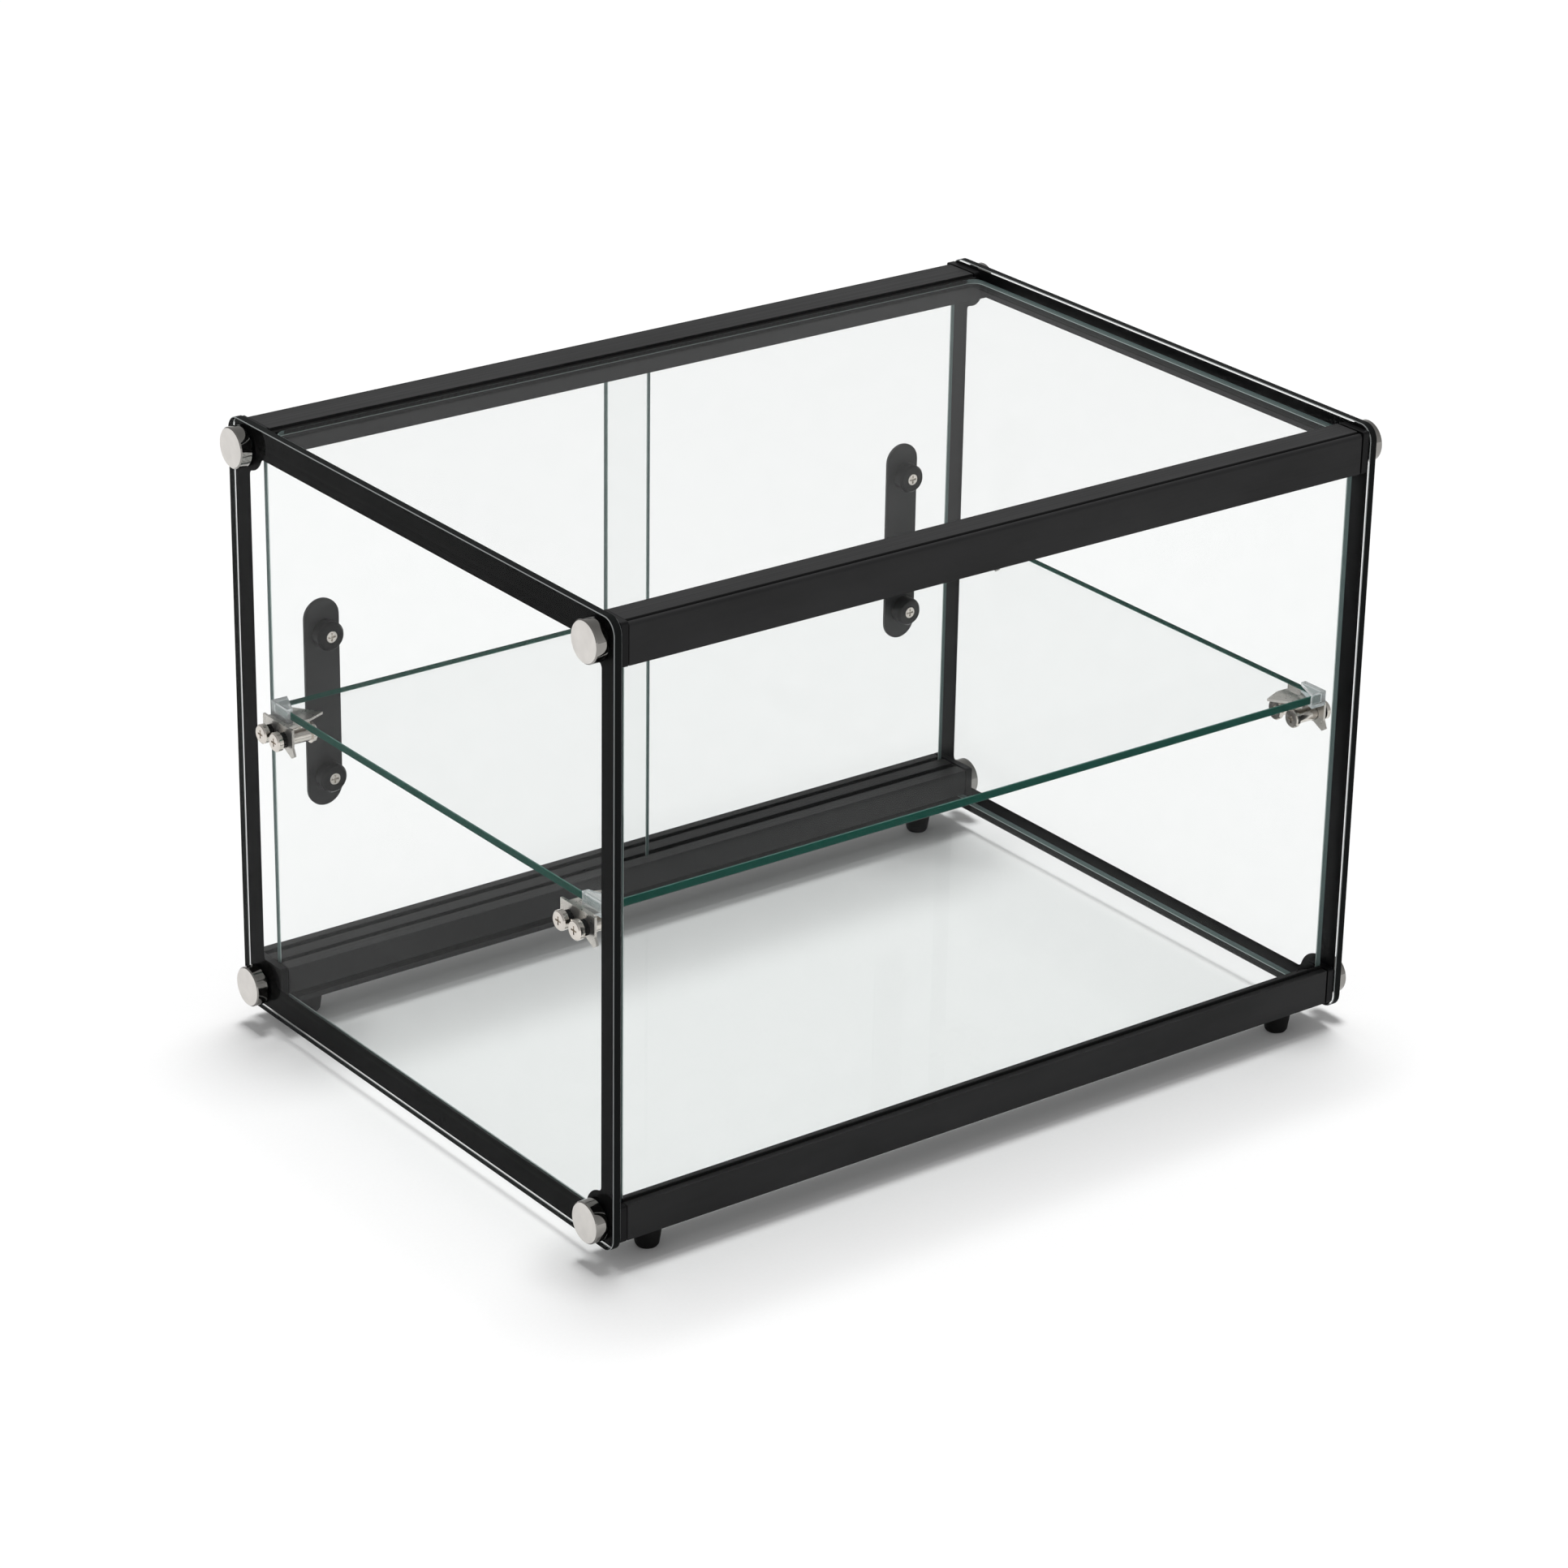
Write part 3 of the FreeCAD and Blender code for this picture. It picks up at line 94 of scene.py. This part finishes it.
# noise
NOISE_LOW = 0.3                 # noise below this takes the low end of a range
NOISE_HIGH = 0.7                # noise above this takes the high end
NOISE_ROUGHNESS = 0.55
EVEN = (1, 1, 1)                # the same fineness along every axis

# stage
FLOOR_HALF = 25                 # half the floor's width, metres
FLOOR_CELLS = 8
FLOOR_FIBRE = 500
FLOOR_TONES = (0.985, 1.0)
FLOOR_ROUGH = 0.9
SENSOR_WIDTH = 36               # millimetres


# ---------------------------------------------------------------- node helpers
def new_finish(name):
    """An empty node material and its tree, with an output."""
    finish = bpy.data.materials.new(name)
    finish.use_nodes = True
    tree = finish.node_tree
    tree.nodes.clear()
    tree.nodes.new("ShaderNodeOutputMaterial")
    return finish, tree


def surface(tree, shader):
    """Joins a shader to the material's output."""
    output = next(n for n in tree.nodes if n.bl_idname == "ShaderNodeOutputMaterial")
    tree.links.new(shader, output.inputs["Surface"])


def shader(tree, **sockets):
    """A Principled shader whose sockets take a value or a link."""
    node = tree.nodes.new("ShaderNodeBsdfPrincipled")
    for name, value in sockets.items():
        socket = node.inputs[name.replace("_", " ")]
        if isinstance(value, bpy.types.NodeSocket):
            tree.links.new(value, socket)
        else:
            socket.default_value = value
    return node


def grain(tree, scale, stretch, detail):
    """Noise on object coordinates, stretched for drawn or brushed metal."""
    place = tree.nodes.new("ShaderNodeTexCoord")
    mapping = tree.nodes.new("ShaderNodeMapping")
    mapping.inputs["Scale"].default_value = stretch
    noise = tree.nodes.new("ShaderNodeTexNoise")
    noise.inputs["Scale"].default_value = scale
    noise.inputs["Detail"].default_value = detail
    noise.inputs["Roughness"].default_value = NOISE_ROUGHNESS
    tree.links.new(place.outputs["Object"], mapping.inputs["Vector"])
    tree.links.new(mapping.outputs["Vector"], noise.inputs["Vector"])
    return noise.outputs["Fac"]


def spread(tree, factor, low, high):
    """Maps noise to a range of values."""
    node = tree.nodes.new("ShaderNodeMapRange")
    for name, value in (("From Min", NOISE_LOW), ("From Max", NOISE_HIGH), ("To Min", low),
                        ("To Max", high)):
        node.inputs[name].default_value = value
    tree.links.new(factor, node.inputs["Value"])
    return node.outputs["Result"]


def shades(tree, factor, dark, light):
    """Maps noise to a range of colours."""
    ramp = tree.nodes.new("ShaderNodeValToRGB")
    ramp.color_ramp.elements[0].position = NOISE_LOW
    ramp.color_ramp.elements[1].position = NOISE_HIGH
    ramp.color_ramp.elements[0].color = (*dark, 1)
    ramp.color_ramp.elements[1].color = (*light, 1)
    tree.links.new(factor, ramp.inputs["Fac"])
    return ramp.outputs["Color"]


def relief(tree, factor, strength, depth):
    """A bump from noise, depth in metres."""
    bump = tree.nodes.new("ShaderNodeBump")
    bump.inputs["Strength"].default_value = strength
    bump.inputs["Distance"].default_value = depth
    tree.links.new(factor, bump.inputs["Height"])
    return bump.outputs["Normal"]


def tone(colour, share):
    """A colour made darker or lighter by a share."""
    return tuple(min(1.0, c * share) for c in colour)


def clouded(tree, factor, colour, dark, light):
    """A colour that noise takes from a darker to a lighter share of it."""
    return shades(tree, factor, tone(colour, dark), tone(colour, light))


def worn(tree, factor, rough, down, up):
    """A roughness that noise takes down and up."""
    return spread(tree, factor, max(LEAST_ROUGH, rough - down), rough + up)


def dress(nodes, finish):
    """Gives CAD nodes a finish in the slots that they have."""
    for name in nodes:
        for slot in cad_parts[name].material_slots:
            slot.material = finish


def named(*endings):
    """CAD nodes whose names end in one of the endings."""
    return sorted(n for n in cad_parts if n.endswith(endings))


# ---------------------------------------------------------------- finishes
def facing(tree, axis):
    """How squarely a face looks along an axis: 1 on it, 0 at right angles."""
    geometry = tree.nodes.new("ShaderNodeNewGeometry")
    split = tree.nodes.new("ShaderNodeSeparateXYZ")
    size = tree.nodes.new("ShaderNodeMath")
    size.operation = "ABSOLUTE"
    tree.links.new(geometry.outputs["True Normal"], split.inputs["Vector"])
    tree.links.new(split.outputs[axis], size.inputs[0])
    return size.outputs[0]


def zones(tree, size, edge, arris, face):
    """One value for the ground edge, one for the bevelled arris and one for the face."""
    ramp = tree.nodes.new("ShaderNodeValToRGB")
    ramp.color_ramp.interpolation = "CONSTANT"
    ramp.color_ramp.elements.new(ARRIS_LIMIT)
    for step, place, value in zip(ramp.color_ramp.elements, (0.0, EDGE_LIMIT, ARRIS_LIMIT),
                                  (edge, arris, face)):
        step.position = place
        step.color = (*value, 1) if isinstance(value, tuple) else (value, value, value, 1)
    tree.links.new(size, ramp.inputs["Fac"])
    return ramp.outputs["Color"]


def times(tree, first, second):
    """Two colours multiplied."""
    node = tree.nodes.new("ShaderNodeMix")
    node.data_type, node.blend_type = "RGBA", "MULTIPLY"
    node.inputs["Factor"].default_value = 1.0
    tree.links.new(first, node.inputs["A"])
    tree.links.new(second, node.inputs["B"])
    return node.outputs["Result"]


def lamps_through(tree, skin, colour):
    """Lets lamps and the room's light through a clear shader, a little tinted at each face."""
    open_air = tree.nodes.new("ShaderNodeBsdfTransparent")
    open_air.inputs["Color"].default_value = (*(math.sqrt(c) for c in colour), 1)
    path = tree.nodes.new("ShaderNodeLightPath")
    for ray in ("Is Shadow Ray", "Is Diffuse Ray"):
        mix = tree.nodes.new("ShaderNodeMixShader")
        tree.links.new(path.outputs[ray], mix.inputs["Fac"])
        tree.links.new(skin, mix.inputs[1])
        tree.links.new(open_air.outputs[0], mix.inputs[2])
        skin = mix.outputs[0]
    surface(tree, skin)


def pane_finish(name, axis, clear, arris, edge):
    """Clear glass that lets lamps through, with a coloured arris and ground edge round it; on the side
    glasses the pale arris colour is a painted highlight and the near-black edge colour is painted shade.
    """
    finish, tree = new_finish(name)
    size = facing(tree, axis)
    mottle = grain(tree, PANE_MOTTLE, EVEN, detail=4)
    tint = times(tree, zones(tree, size, edge, arris, clear), shades(tree, mottle, *PALE))
    skin = shader(tree, Base_Color=tint, Roughness=zones(tree, size, *PANE_ROUGH),
                  IOR=PANE_BEND,
                  Transmission_Weight=zones(tree, size, *PANE_CLEARNESS),
                  Specular_IOR_Level=PANE_GLEAM)
    lamps_through(tree, skin.outputs[0], clear)
    return finish


def rail_finish(name, colour, rough):
    """Black anodised extrusion: die lines along X under a fine etched grain."""
    finish, tree = new_finish(name)
    lines = grain(tree, 1.0, DIE_LINES, detail=2)
    etch = grain(tree, RAIL_ETCH, EVEN, detail=2)
    cloud = grain(tree, RAIL_CLOUD, DIE_STREAKS, detail=5)
    skin = shader(tree, Base_Color=clouded(tree, cloud, colour, *RAIL_TONES),
                  Roughness=worn(tree, lines, rough, *RAIL_WEAR),
                  Specular_IOR_Level=RAIL_GLEAM,
                  Normal=relief(tree, etch, RAIL_BUMP, METAL_DEPTH))
    surface(tree, skin.outputs[0])
    return finish


def moulding_finish(name, colour, rough, scale=MOULD_SPARK, depth=MOULD_DEPTH):
    """Moulded plastic or rubber with a fine spark-eroded texture."""
    finish, tree = new_finish(name)
    texture = grain(tree, scale, EVEN, detail=3)
    cloud = grain(tree, MOULD_CLOUD, EVEN, detail=4)
    skin = shader(tree, Base_Color=clouded(tree, cloud, colour, *MOULD_TONES),
                  Roughness=worn(tree, cloud, rough, *MOULD_WEAR),
                  Specular_IOR_Level=DARK_GLEAM,
                  Normal=relief(tree, texture, MOULD_BUMP, depth))
    surface(tree, skin.outputs[0])
    return finish


def metal_finish(name, colour, rough):
    """Plated or turned metal with fine tool marks and a slight tarnish."""
    finish, tree = new_finish(name)
    marks = grain(tree, METAL_MARKS, EVEN, detail=3)
    cloud = grain(tree, METAL_CLOUD, EVEN, detail=4)
    skin = shader(tree, Base_Color=clouded(tree, cloud, colour, *METAL_TONES),
                  Metallic=1.0, Roughness=worn(tree, marks, rough, *METAL_WEAR),
                  Normal=relief(tree, marks, METAL_BUMP, METAL_DEPTH))
    surface(tree, skin.outputs[0])
    return finish


def cap_finish(name, satin, polished, axis):
    """A turned cap: a satin face that looks along the axis, and a polished rim painted darker, a painted
    dark reflection.
    """
    finish, tree = new_finish(name)
    size = facing(tree, axis)
    marks = grain(tree, CAP_MARKS, EVEN, detail=3)
    cloud = grain(tree, METAL_CLOUD, EVEN, detail=4)
    # the rim and chamfer take the darker colour, a painted dark reflection; the face takes the satin
    # colour
    tint = times(tree, zones(tree, size, polished, polished, satin),
                 shades(tree, cloud, *TARNISH))
    skin = shader(tree, Base_Color=tint, Metallic=1.0, Roughness=zones(tree, size, *CAP_ROUGH),
                  Normal=relief(tree, marks, METAL_BUMP, METAL_DEPTH))
    surface(tree, skin.outputs[0])
    return finish


def soft_clear_finish(name, colour):
    """Clear soft plastic, a little cloudy, that lets lamps through."""
    finish, tree = new_finish(name)
    cloud = grain(tree, BOOT_CLOUD, EVEN, detail=4)
    skin = shader(tree, Base_Color=clouded(tree, cloud, colour, *BOOT_TONES),
                  Roughness=spread(tree, cloud, *BOOT_ROUGH), IOR=BOOT_BEND,
                  Transmission_Weight=BOOT_CLEARNESS)
    lamps_through(tree, skin.outputs[0], colour)
    return finish


# ---------------------------------------------------------------- settings
def colour(name, words, value):
    """A colour that a user can change."""
    return FloatVectorProperty(name=name, description=words, default=value, size=3, min=0, max=1,
                               subtype="COLOR")


def share(name, words, value):
    """A share from 0 to 1 that a user can change."""
    return FloatProperty(name=name, description=words, default=value, min=0, max=1,
                         subtype="FACTOR")


class CaseGlassSettings(PropertyGroup):
    """Tints of the panes and of their edges, with a painted highlight and painted shade on the side
    glasses' edges
    """
    clear: colour("Clear", "Tint of the panes seen face on", (0.960, 0.966, 0.964))
    pane_arris: colour("Pane arris", "Bevelled edge of the doors and rail-held panes", (0.42, 0.50, 0.48))
    pane_edge: colour("Pane edge", "Ground edge of the doors and rail-held panes", (0.13, 0.18, 0.175))
    # side arris: painted highlight, a pale grey standing in for light caught along the side glasses'
    # bevelled edge
    side_arris_highlight: colour("Side arris highlight", "Bevelled edge of the side glasses", (0.35, 0.37, 0.37))
    # side edge: painted shade, near-black where the fired border on the inner face keeps light out of the
    # ground edge
    side_edge_shade: colour("Side edge shade", "Ground edge of the side glasses", (0.010, 0.011, 0.011))
    shelf_arris: colour("Shelf arris", "Bevelled edge of the shelf", (0.050, 0.130, 0.108))
    shelf_edge: colour("Shelf edge", "Ground edge of the shelf", (0.010, 0.070, 0.052))


class CaseRailSettings(PropertyGroup):
    """Colours of the black parts and the bushes"""
    anodised: colour("Anodised", "Colour of the rails", (0.018, 0.018, 0.0185))
    rail_rough: share("Rail roughness", "Roughness of the rails", 0.42)
    moulded: colour("Moulded", "Colour of the end caps", (0.007, 0.007, 0.0075))
    enamel: colour("Enamel", "Colour of the borders fired on the side glasses", (0.006, 0.006, 0.0065))
    rubber: colour("Rubber", "Colour of the gaskets, washers and feet", (0.007, 0.007, 0.007))
    bush: colour("Bush", "Colour of the nylon bushes in the side glasses", (0.6, 0.6, 0.58))


class CaseFittingSettings(PropertyGroup):
    """Colours of the caps, fixings, shelf fittings and door fittings"""
    cap: colour("Cap", "Colour of the corner caps", (0.68, 0.655, 0.625))
    # cap rim: painted reflection, a darker colour standing in for the dark surroundings mirrored in the
    # polished rim of the same metal
    cap_rim_dark_reflection: colour("Cap rim reflection", "Colour of the corner caps' polished rims", (0.30, 0.29, 0.275))
    nickel: colour("Nickel", "Colour of the shelf's posts and screws", (0.66, 0.62, 0.57))
    steel: colour("Steel", "Colour of the brackets and studs", (0.56, 0.535, 0.50))
    boot: colour("Boot", "Colour of the clear shelf corners", (0.88, 0.915, 0.92))
    pull: colour("Pull", "Colour of the outer door pulls", (0.046, 0.046, 0.047))
    knob: colour("Knob", "Colour of the inner door knobs", (0.006, 0.006, 0.0062))


class CaseStageSettings(PropertyGroup):
    """Camera, floor and light"""
    camera_place: FloatVectorProperty(name="Camera place", description="Where the camera stands",
                                      default=(-1.57741, -2.08448, 1.30068), size=3,
                                      subtype="TRANSLATION", unit="LENGTH")
    camera_turn: FloatProperty(name="Camera turn", description="Turn about the vertical",
                               default=math.radians(-36.949), subtype="ANGLE")
    camera_tilt: FloatProperty(name="Camera tilt", description="Height above the horizon",
                               default=math.radians(23.732), subtype="ANGLE")
    camera_roll: FloatProperty(name="Camera roll", description="Roll about the view",
                               default=math.radians(0.966), subtype="ANGLE")
    lens: FloatProperty(name="Lens", description="Focal length in millimetres", default=113.72,
                        min=10, max=400)
    floor: colour("Floor", "Colour of the floor", (0.93, 0.93, 0.93))
    sky: FloatProperty(name="Room light", description="Strength of the light from all round",
                       default=0.30, min=0, max=5)
    horizon: FloatProperty(name="Horizon light", description="Strength of the light from the horizon",
                           default=0.62, min=0, max=5)
    key: FloatProperty(name="Key light", description="Strength of the soft light from above",
                       default=2.3, min=0, max=20)
    key_place: FloatVectorProperty(name="Key place", description="Direction that the key light comes from",
                                   default=(0.09, 0.11, 1.0), size=3, subtype="DIRECTION")
    key_spread: FloatProperty(name="Key spread", description="Width of the key light as an angle",
                              default=math.radians(17), min=0, max=math.pi, subtype="ANGLE")


# ---------------------------------------------------------------- operators
class DISPLAYCASE_OT_glass(Operator):
    """Dress the fixed panes and the sliding doors in clear glass with ground edges"""
    bl_idname = "displaycase.glass"
    bl_label = "Case Glass"

    def execute(self, context):
        settings = context.scene.case_glass
        for name, axis in PANE_AXES.items():
            if name == "shelf_glass":
                continue
            side = name.endswith("side_glass")
            # on the side glasses the pale arris colour is a painted highlight and the near-black edge
            # colour is painted shade
            arris = settings.side_arris_highlight if side else settings.pane_arris
            edge = settings.side_edge_shade if side else settings.pane_edge
            dress([name], pane_finish(f"{name}_clear", axis, tuple(settings.clear), tuple(arris),
                                      tuple(edge)))
        return {"FINISHED"}


class DISPLAYCASE_OT_shelf(Operator):
    """Dress the shelf in glass with a deep green edge"""
    bl_idname = "displaycase.shelf"
    bl_label = "Shelf Glass"

    def execute(self, context):
        settings = context.scene.case_glass
        dress(["shelf_glass"], pane_finish("shelf_green_edge", PANE_AXES["shelf_glass"],
                                           tuple(settings.clear), tuple(settings.shelf_arris),
                                           tuple(settings.shelf_edge)))
        return {"FINISHED"}


class DISPLAYCASE_OT_borders(Operator):
    """Dress the fired borders of the side glasses in black enamel"""
    bl_idname = "displaycase.borders"
    bl_label = "Enamel Borders"

    def execute(self, context):
        settings = context.scene.case_rails
        dress(named("glass_border"), moulding_finish("fired_enamel", tuple(settings.enamel), rough=0.35,
                                                     scale=ENAMEL_WAVE, depth=ENAMEL_DEPTH))
        return {"FINISHED"}


class DISPLAYCASE_OT_rails(Operator):
    """Dress the four rails in black anodising"""
    bl_idname = "displaycase.rails"
    bl_label = "Rails"

    def execute(self, context):
        settings = context.scene.case_rails
        dress(named("_rail"), rail_finish("black_anodising", tuple(settings.anodised),
                                          settings.rail_rough))
        return {"FINISHED"}


class DISPLAYCASE_OT_end_caps(Operator):
    """Dress the rails' end caps in moulded black plastic"""
    bl_idname = "displaycase.end_caps"
    bl_label = "End Caps"

    def execute(self, context):
        settings = context.scene.case_rails
        dress(named("end_cap"), moulding_finish("end_cap_moulding", tuple(settings.moulded), rough=0.4))
        return {"FINISHED"}


class DISPLAYCASE_OT_seals(Operator):
    """Dress the gaskets, cap washers, track liners and bushes"""
    bl_idname = "displaycase.seals"
    bl_label = "Seals and Liners"

    def execute(self, context):
        settings = context.scene.case_rails
        rubber = moulding_finish("gasket_rubber_black", tuple(settings.rubber), rough=0.6,
                                 scale=RUBBER_SPARK, depth=RUBBER_DEPTH)
        dress(named("gasket", "seal", "washers"), rubber)
        dress(named("liners"), moulding_finish("liner_black", tuple(settings.moulded), rough=0.35))
        dress(named("bushes"), moulding_finish("bush_nylon", tuple(settings.bush), rough=0.5))
        return {"FINISHED"}


class DISPLAYCASE_OT_corner_fixings(Operator):
    """Dress the round corner caps and their studs"""
    bl_idname = "displaycase.corner_fixings"
    bl_label = "Corner Fixings"

    def execute(self, context):
        settings = context.scene.case_fittings
        # the caps' rims take a darker colour, a painted dark reflection
        dress(named("corner_caps"), cap_finish("cap_satin_dark_rim_reflection", tuple(settings.cap),
                                               tuple(settings.cap_rim_dark_reflection), CAP_AXIS))
        dress(named("corner_studs"), metal_finish("stud_zinc", tuple(settings.steel), rough=0.35))
        return {"FINISHED"}


class DISPLAYCASE_OT_shelf_supports(Operator):
    """Dress the shelf's brackets, posts, screws and clear corners"""
    bl_idname = "displaycase.shelf_supports"
    bl_label = "Shelf Supports"

    def execute(self, context):
        settings = context.scene.case_fittings
        nickel = metal_finish("post_nickel_bright", tuple(settings.nickel), rough=0.13)
        dress(named("shelf_posts", "shelf_screws"), nickel)
        dress(named("shelf_bracket"), metal_finish("bracket_plate", tuple(settings.steel), rough=0.3))
        dress(named("shelf_boot"), soft_clear_finish("boot_clear", tuple(settings.boot)))
        return {"FINISHED"}


class DISPLAYCASE_OT_door_fittings(Operator):
    """Dress the door pulls, knobs and their screws"""
    bl_idname = "displaycase.door_fittings"
    bl_label = "Door Fittings"

    def execute(self, context):
        settings = context.scene.case_fittings
        dress(named("door_pull"), rail_finish("pull_anodising", tuple(settings.pull), rough=0.38))
        dress(named("door_knobs"), moulding_finish("knob_moulding", tuple(settings.knob), rough=0.3))
        dress(named("door_screws"), metal_finish("door_screw_bright", tuple(settings.nickel), rough=0.2))
        return {"FINISHED"}


class DISPLAYCASE_OT_feet(Operator):
    """Dress the rubber feet and their screws"""
    bl_idname = "displaycase.feet"
    bl_label = "Feet"

    def execute(self, context):
        rubber = tuple(context.scene.case_rails.rubber)
        dress(named("_foot"), moulding_finish("foot_rubber_black", rubber, rough=0.6,
                                              scale=FOOT_SPARK, depth=FOOT_DEPTH))
        dress(["foot_screws"], metal_finish("foot_screw_zinc",
                                            tuple(context.scene.case_fittings.steel), rough=0.3))
        return {"FINISHED"}


class DISPLAYCASE_OT_stage(Operator):
    """Build the pale floor, the soft lights and the camera"""
    bl_idname = "displaycase.stage"
    bl_label = "Stage"

    def execute(self, context):
        settings = context.scene.case_stage
        mesh = bpy.data.meshes.new("pale_floor")
        shape = bmesh.new()
        bmesh.ops.create_grid(shape, x_segments=FLOOR_CELLS, y_segments=FLOOR_CELLS, size=FLOOR_HALF)
        shape.to_mesh(mesh)
        shape.free()
        floor = bpy.data.objects.new("pale_floor", mesh)
        context.scene.collection.objects.link(floor)
        finish, tree = new_finish("floor_paper")
        paper = tuple(settings.floor)
        fibre = grain(tree, FLOOR_FIBRE, EVEN, detail=3)
        skin = shader(tree, Base_Color=clouded(tree, fibre, paper, *FLOOR_TONES),
                      Roughness=FLOOR_ROUGH, Specular_IOR_Level=DARK_GLEAM)
        surface(tree, skin.outputs[0])
        mesh.materials.append(finish)

        world = bpy.data.worlds.new("pale_room")
        world.use_nodes = True
        tree = world.node_tree
        place = tree.nodes.new("ShaderNodeTexCoord")
        split = tree.nodes.new("ShaderNodeSeparateXYZ")
        fall = tree.nodes.new("ShaderNodeMapRange")
        fall.inputs["To Min"].default_value = settings.horizon
        fall.inputs["To Max"].default_value = settings.sky
        tree.links.new(place.outputs["Generated"], split.inputs["Vector"])
        tree.links.new(split.outputs["Z"], fall.inputs["Value"])
        tree.links.new(fall.outputs["Result"], tree.nodes["Background"].inputs["Strength"])
        tree.nodes["Background"].inputs["Color"].default_value = (1, 1, 1, 1)
        context.scene.world = world
        data = bpy.data.lights.new("soft_key", "SUN")
        data.energy, data.angle = settings.key, settings.key_spread
        key = bpy.data.objects.new("soft_key", data)
        key.rotation_euler = Vector(settings.key_place).to_track_quat("Z", "Y").to_euler()
        context.scene.collection.objects.link(key)
        context.scene.view_settings.view_transform = "Standard"

        turn, tilt, roll = settings.camera_turn, settings.camera_tilt, settings.camera_roll
        back = Vector((math.sin(turn) * math.cos(tilt), -math.cos(turn) * math.cos(tilt),
                       math.sin(tilt)))
        level = Vector((math.cos(turn), math.sin(turn), 0))
        upright = back.cross(level)
        right = level * math.cos(roll) + upright * math.sin(roll)
        up = upright * math.cos(roll) - level * math.sin(roll)
        data = bpy.data.cameras.new("studio_camera")
        data.lens, data.sensor_width = settings.lens, SENSOR_WIDTH
        camera = bpy.data.objects.new("studio_camera", data)
        camera.matrix_world = Matrix.Translation(settings.camera_place) @ Matrix(
            (right, up, back)).transposed().to_4x4()
        context.scene.collection.objects.link(camera)
        context.scene.camera = camera
        return {"FINISHED"}


class DISPLAYCASE_PT_sidebar(Panel):
    """The case's steps and settings"""
    bl_idname = "DISPLAYCASE_PT_sidebar"
    bl_label = "Display Case"
    bl_space_type = "VIEW_3D"
    bl_region_type = "UI"
    bl_category = "Display Case"

    def draw(self, context):
        for step in STEPS:
            self.layout.operator(step.bl_idname)
        for group in SETTINGS:
            box = self.layout.box()
            settings = getattr(context.scene, group)
            for name in SETTINGS[group].__annotations__:
                box.prop(settings, name)


STEPS = (
    DISPLAYCASE_OT_glass, DISPLAYCASE_OT_shelf, DISPLAYCASE_OT_borders, DISPLAYCASE_OT_rails,
    DISPLAYCASE_OT_end_caps, DISPLAYCASE_OT_seals, DISPLAYCASE_OT_corner_fixings,
    DISPLAYCASE_OT_shelf_supports, DISPLAYCASE_OT_door_fittings, DISPLAYCASE_OT_feet,
    DISPLAYCASE_OT_stage,
)
SETTINGS = {
    "case_glass": CaseGlassSettings, "case_rails": CaseRailSettings,
    "case_fittings": CaseFittingSettings, "case_stage": CaseStageSettings,
}


def register():
    for name, group in SETTINGS.items():
        bpy.utils.register_class(group)
        setattr(bpy.types.Scene, name, PointerProperty(type=group))
    for item in (*STEPS, DISPLAYCASE_PT_sidebar):
        bpy.utils.register_class(item)


def unregister():
    for item in (DISPLAYCASE_PT_sidebar, *reversed(STEPS)):
        bpy.utils.unregister_class(item)
    for name, group in SETTINGS.items():
        delattr(bpy.types.Scene, name)
        bpy.utils.unregister_class(group)


def main():
    register()
    bpy.ops.displaycase.glass()
    bpy.ops.displaycase.shelf()
    bpy.ops.displaycase.borders()
    bpy.ops.displaycase.rails()
    bpy.ops.displaycase.end_caps()
    bpy.ops.displaycase.seals()
    bpy.ops.displaycase.corner_fixings()
    bpy.ops.displaycase.shelf_supports()
    bpy.ops.displaycase.door_fittings()
    bpy.ops.displaycase.feet()
    bpy.ops.displaycase.stage()


if __name__ == "__main__":
    main()
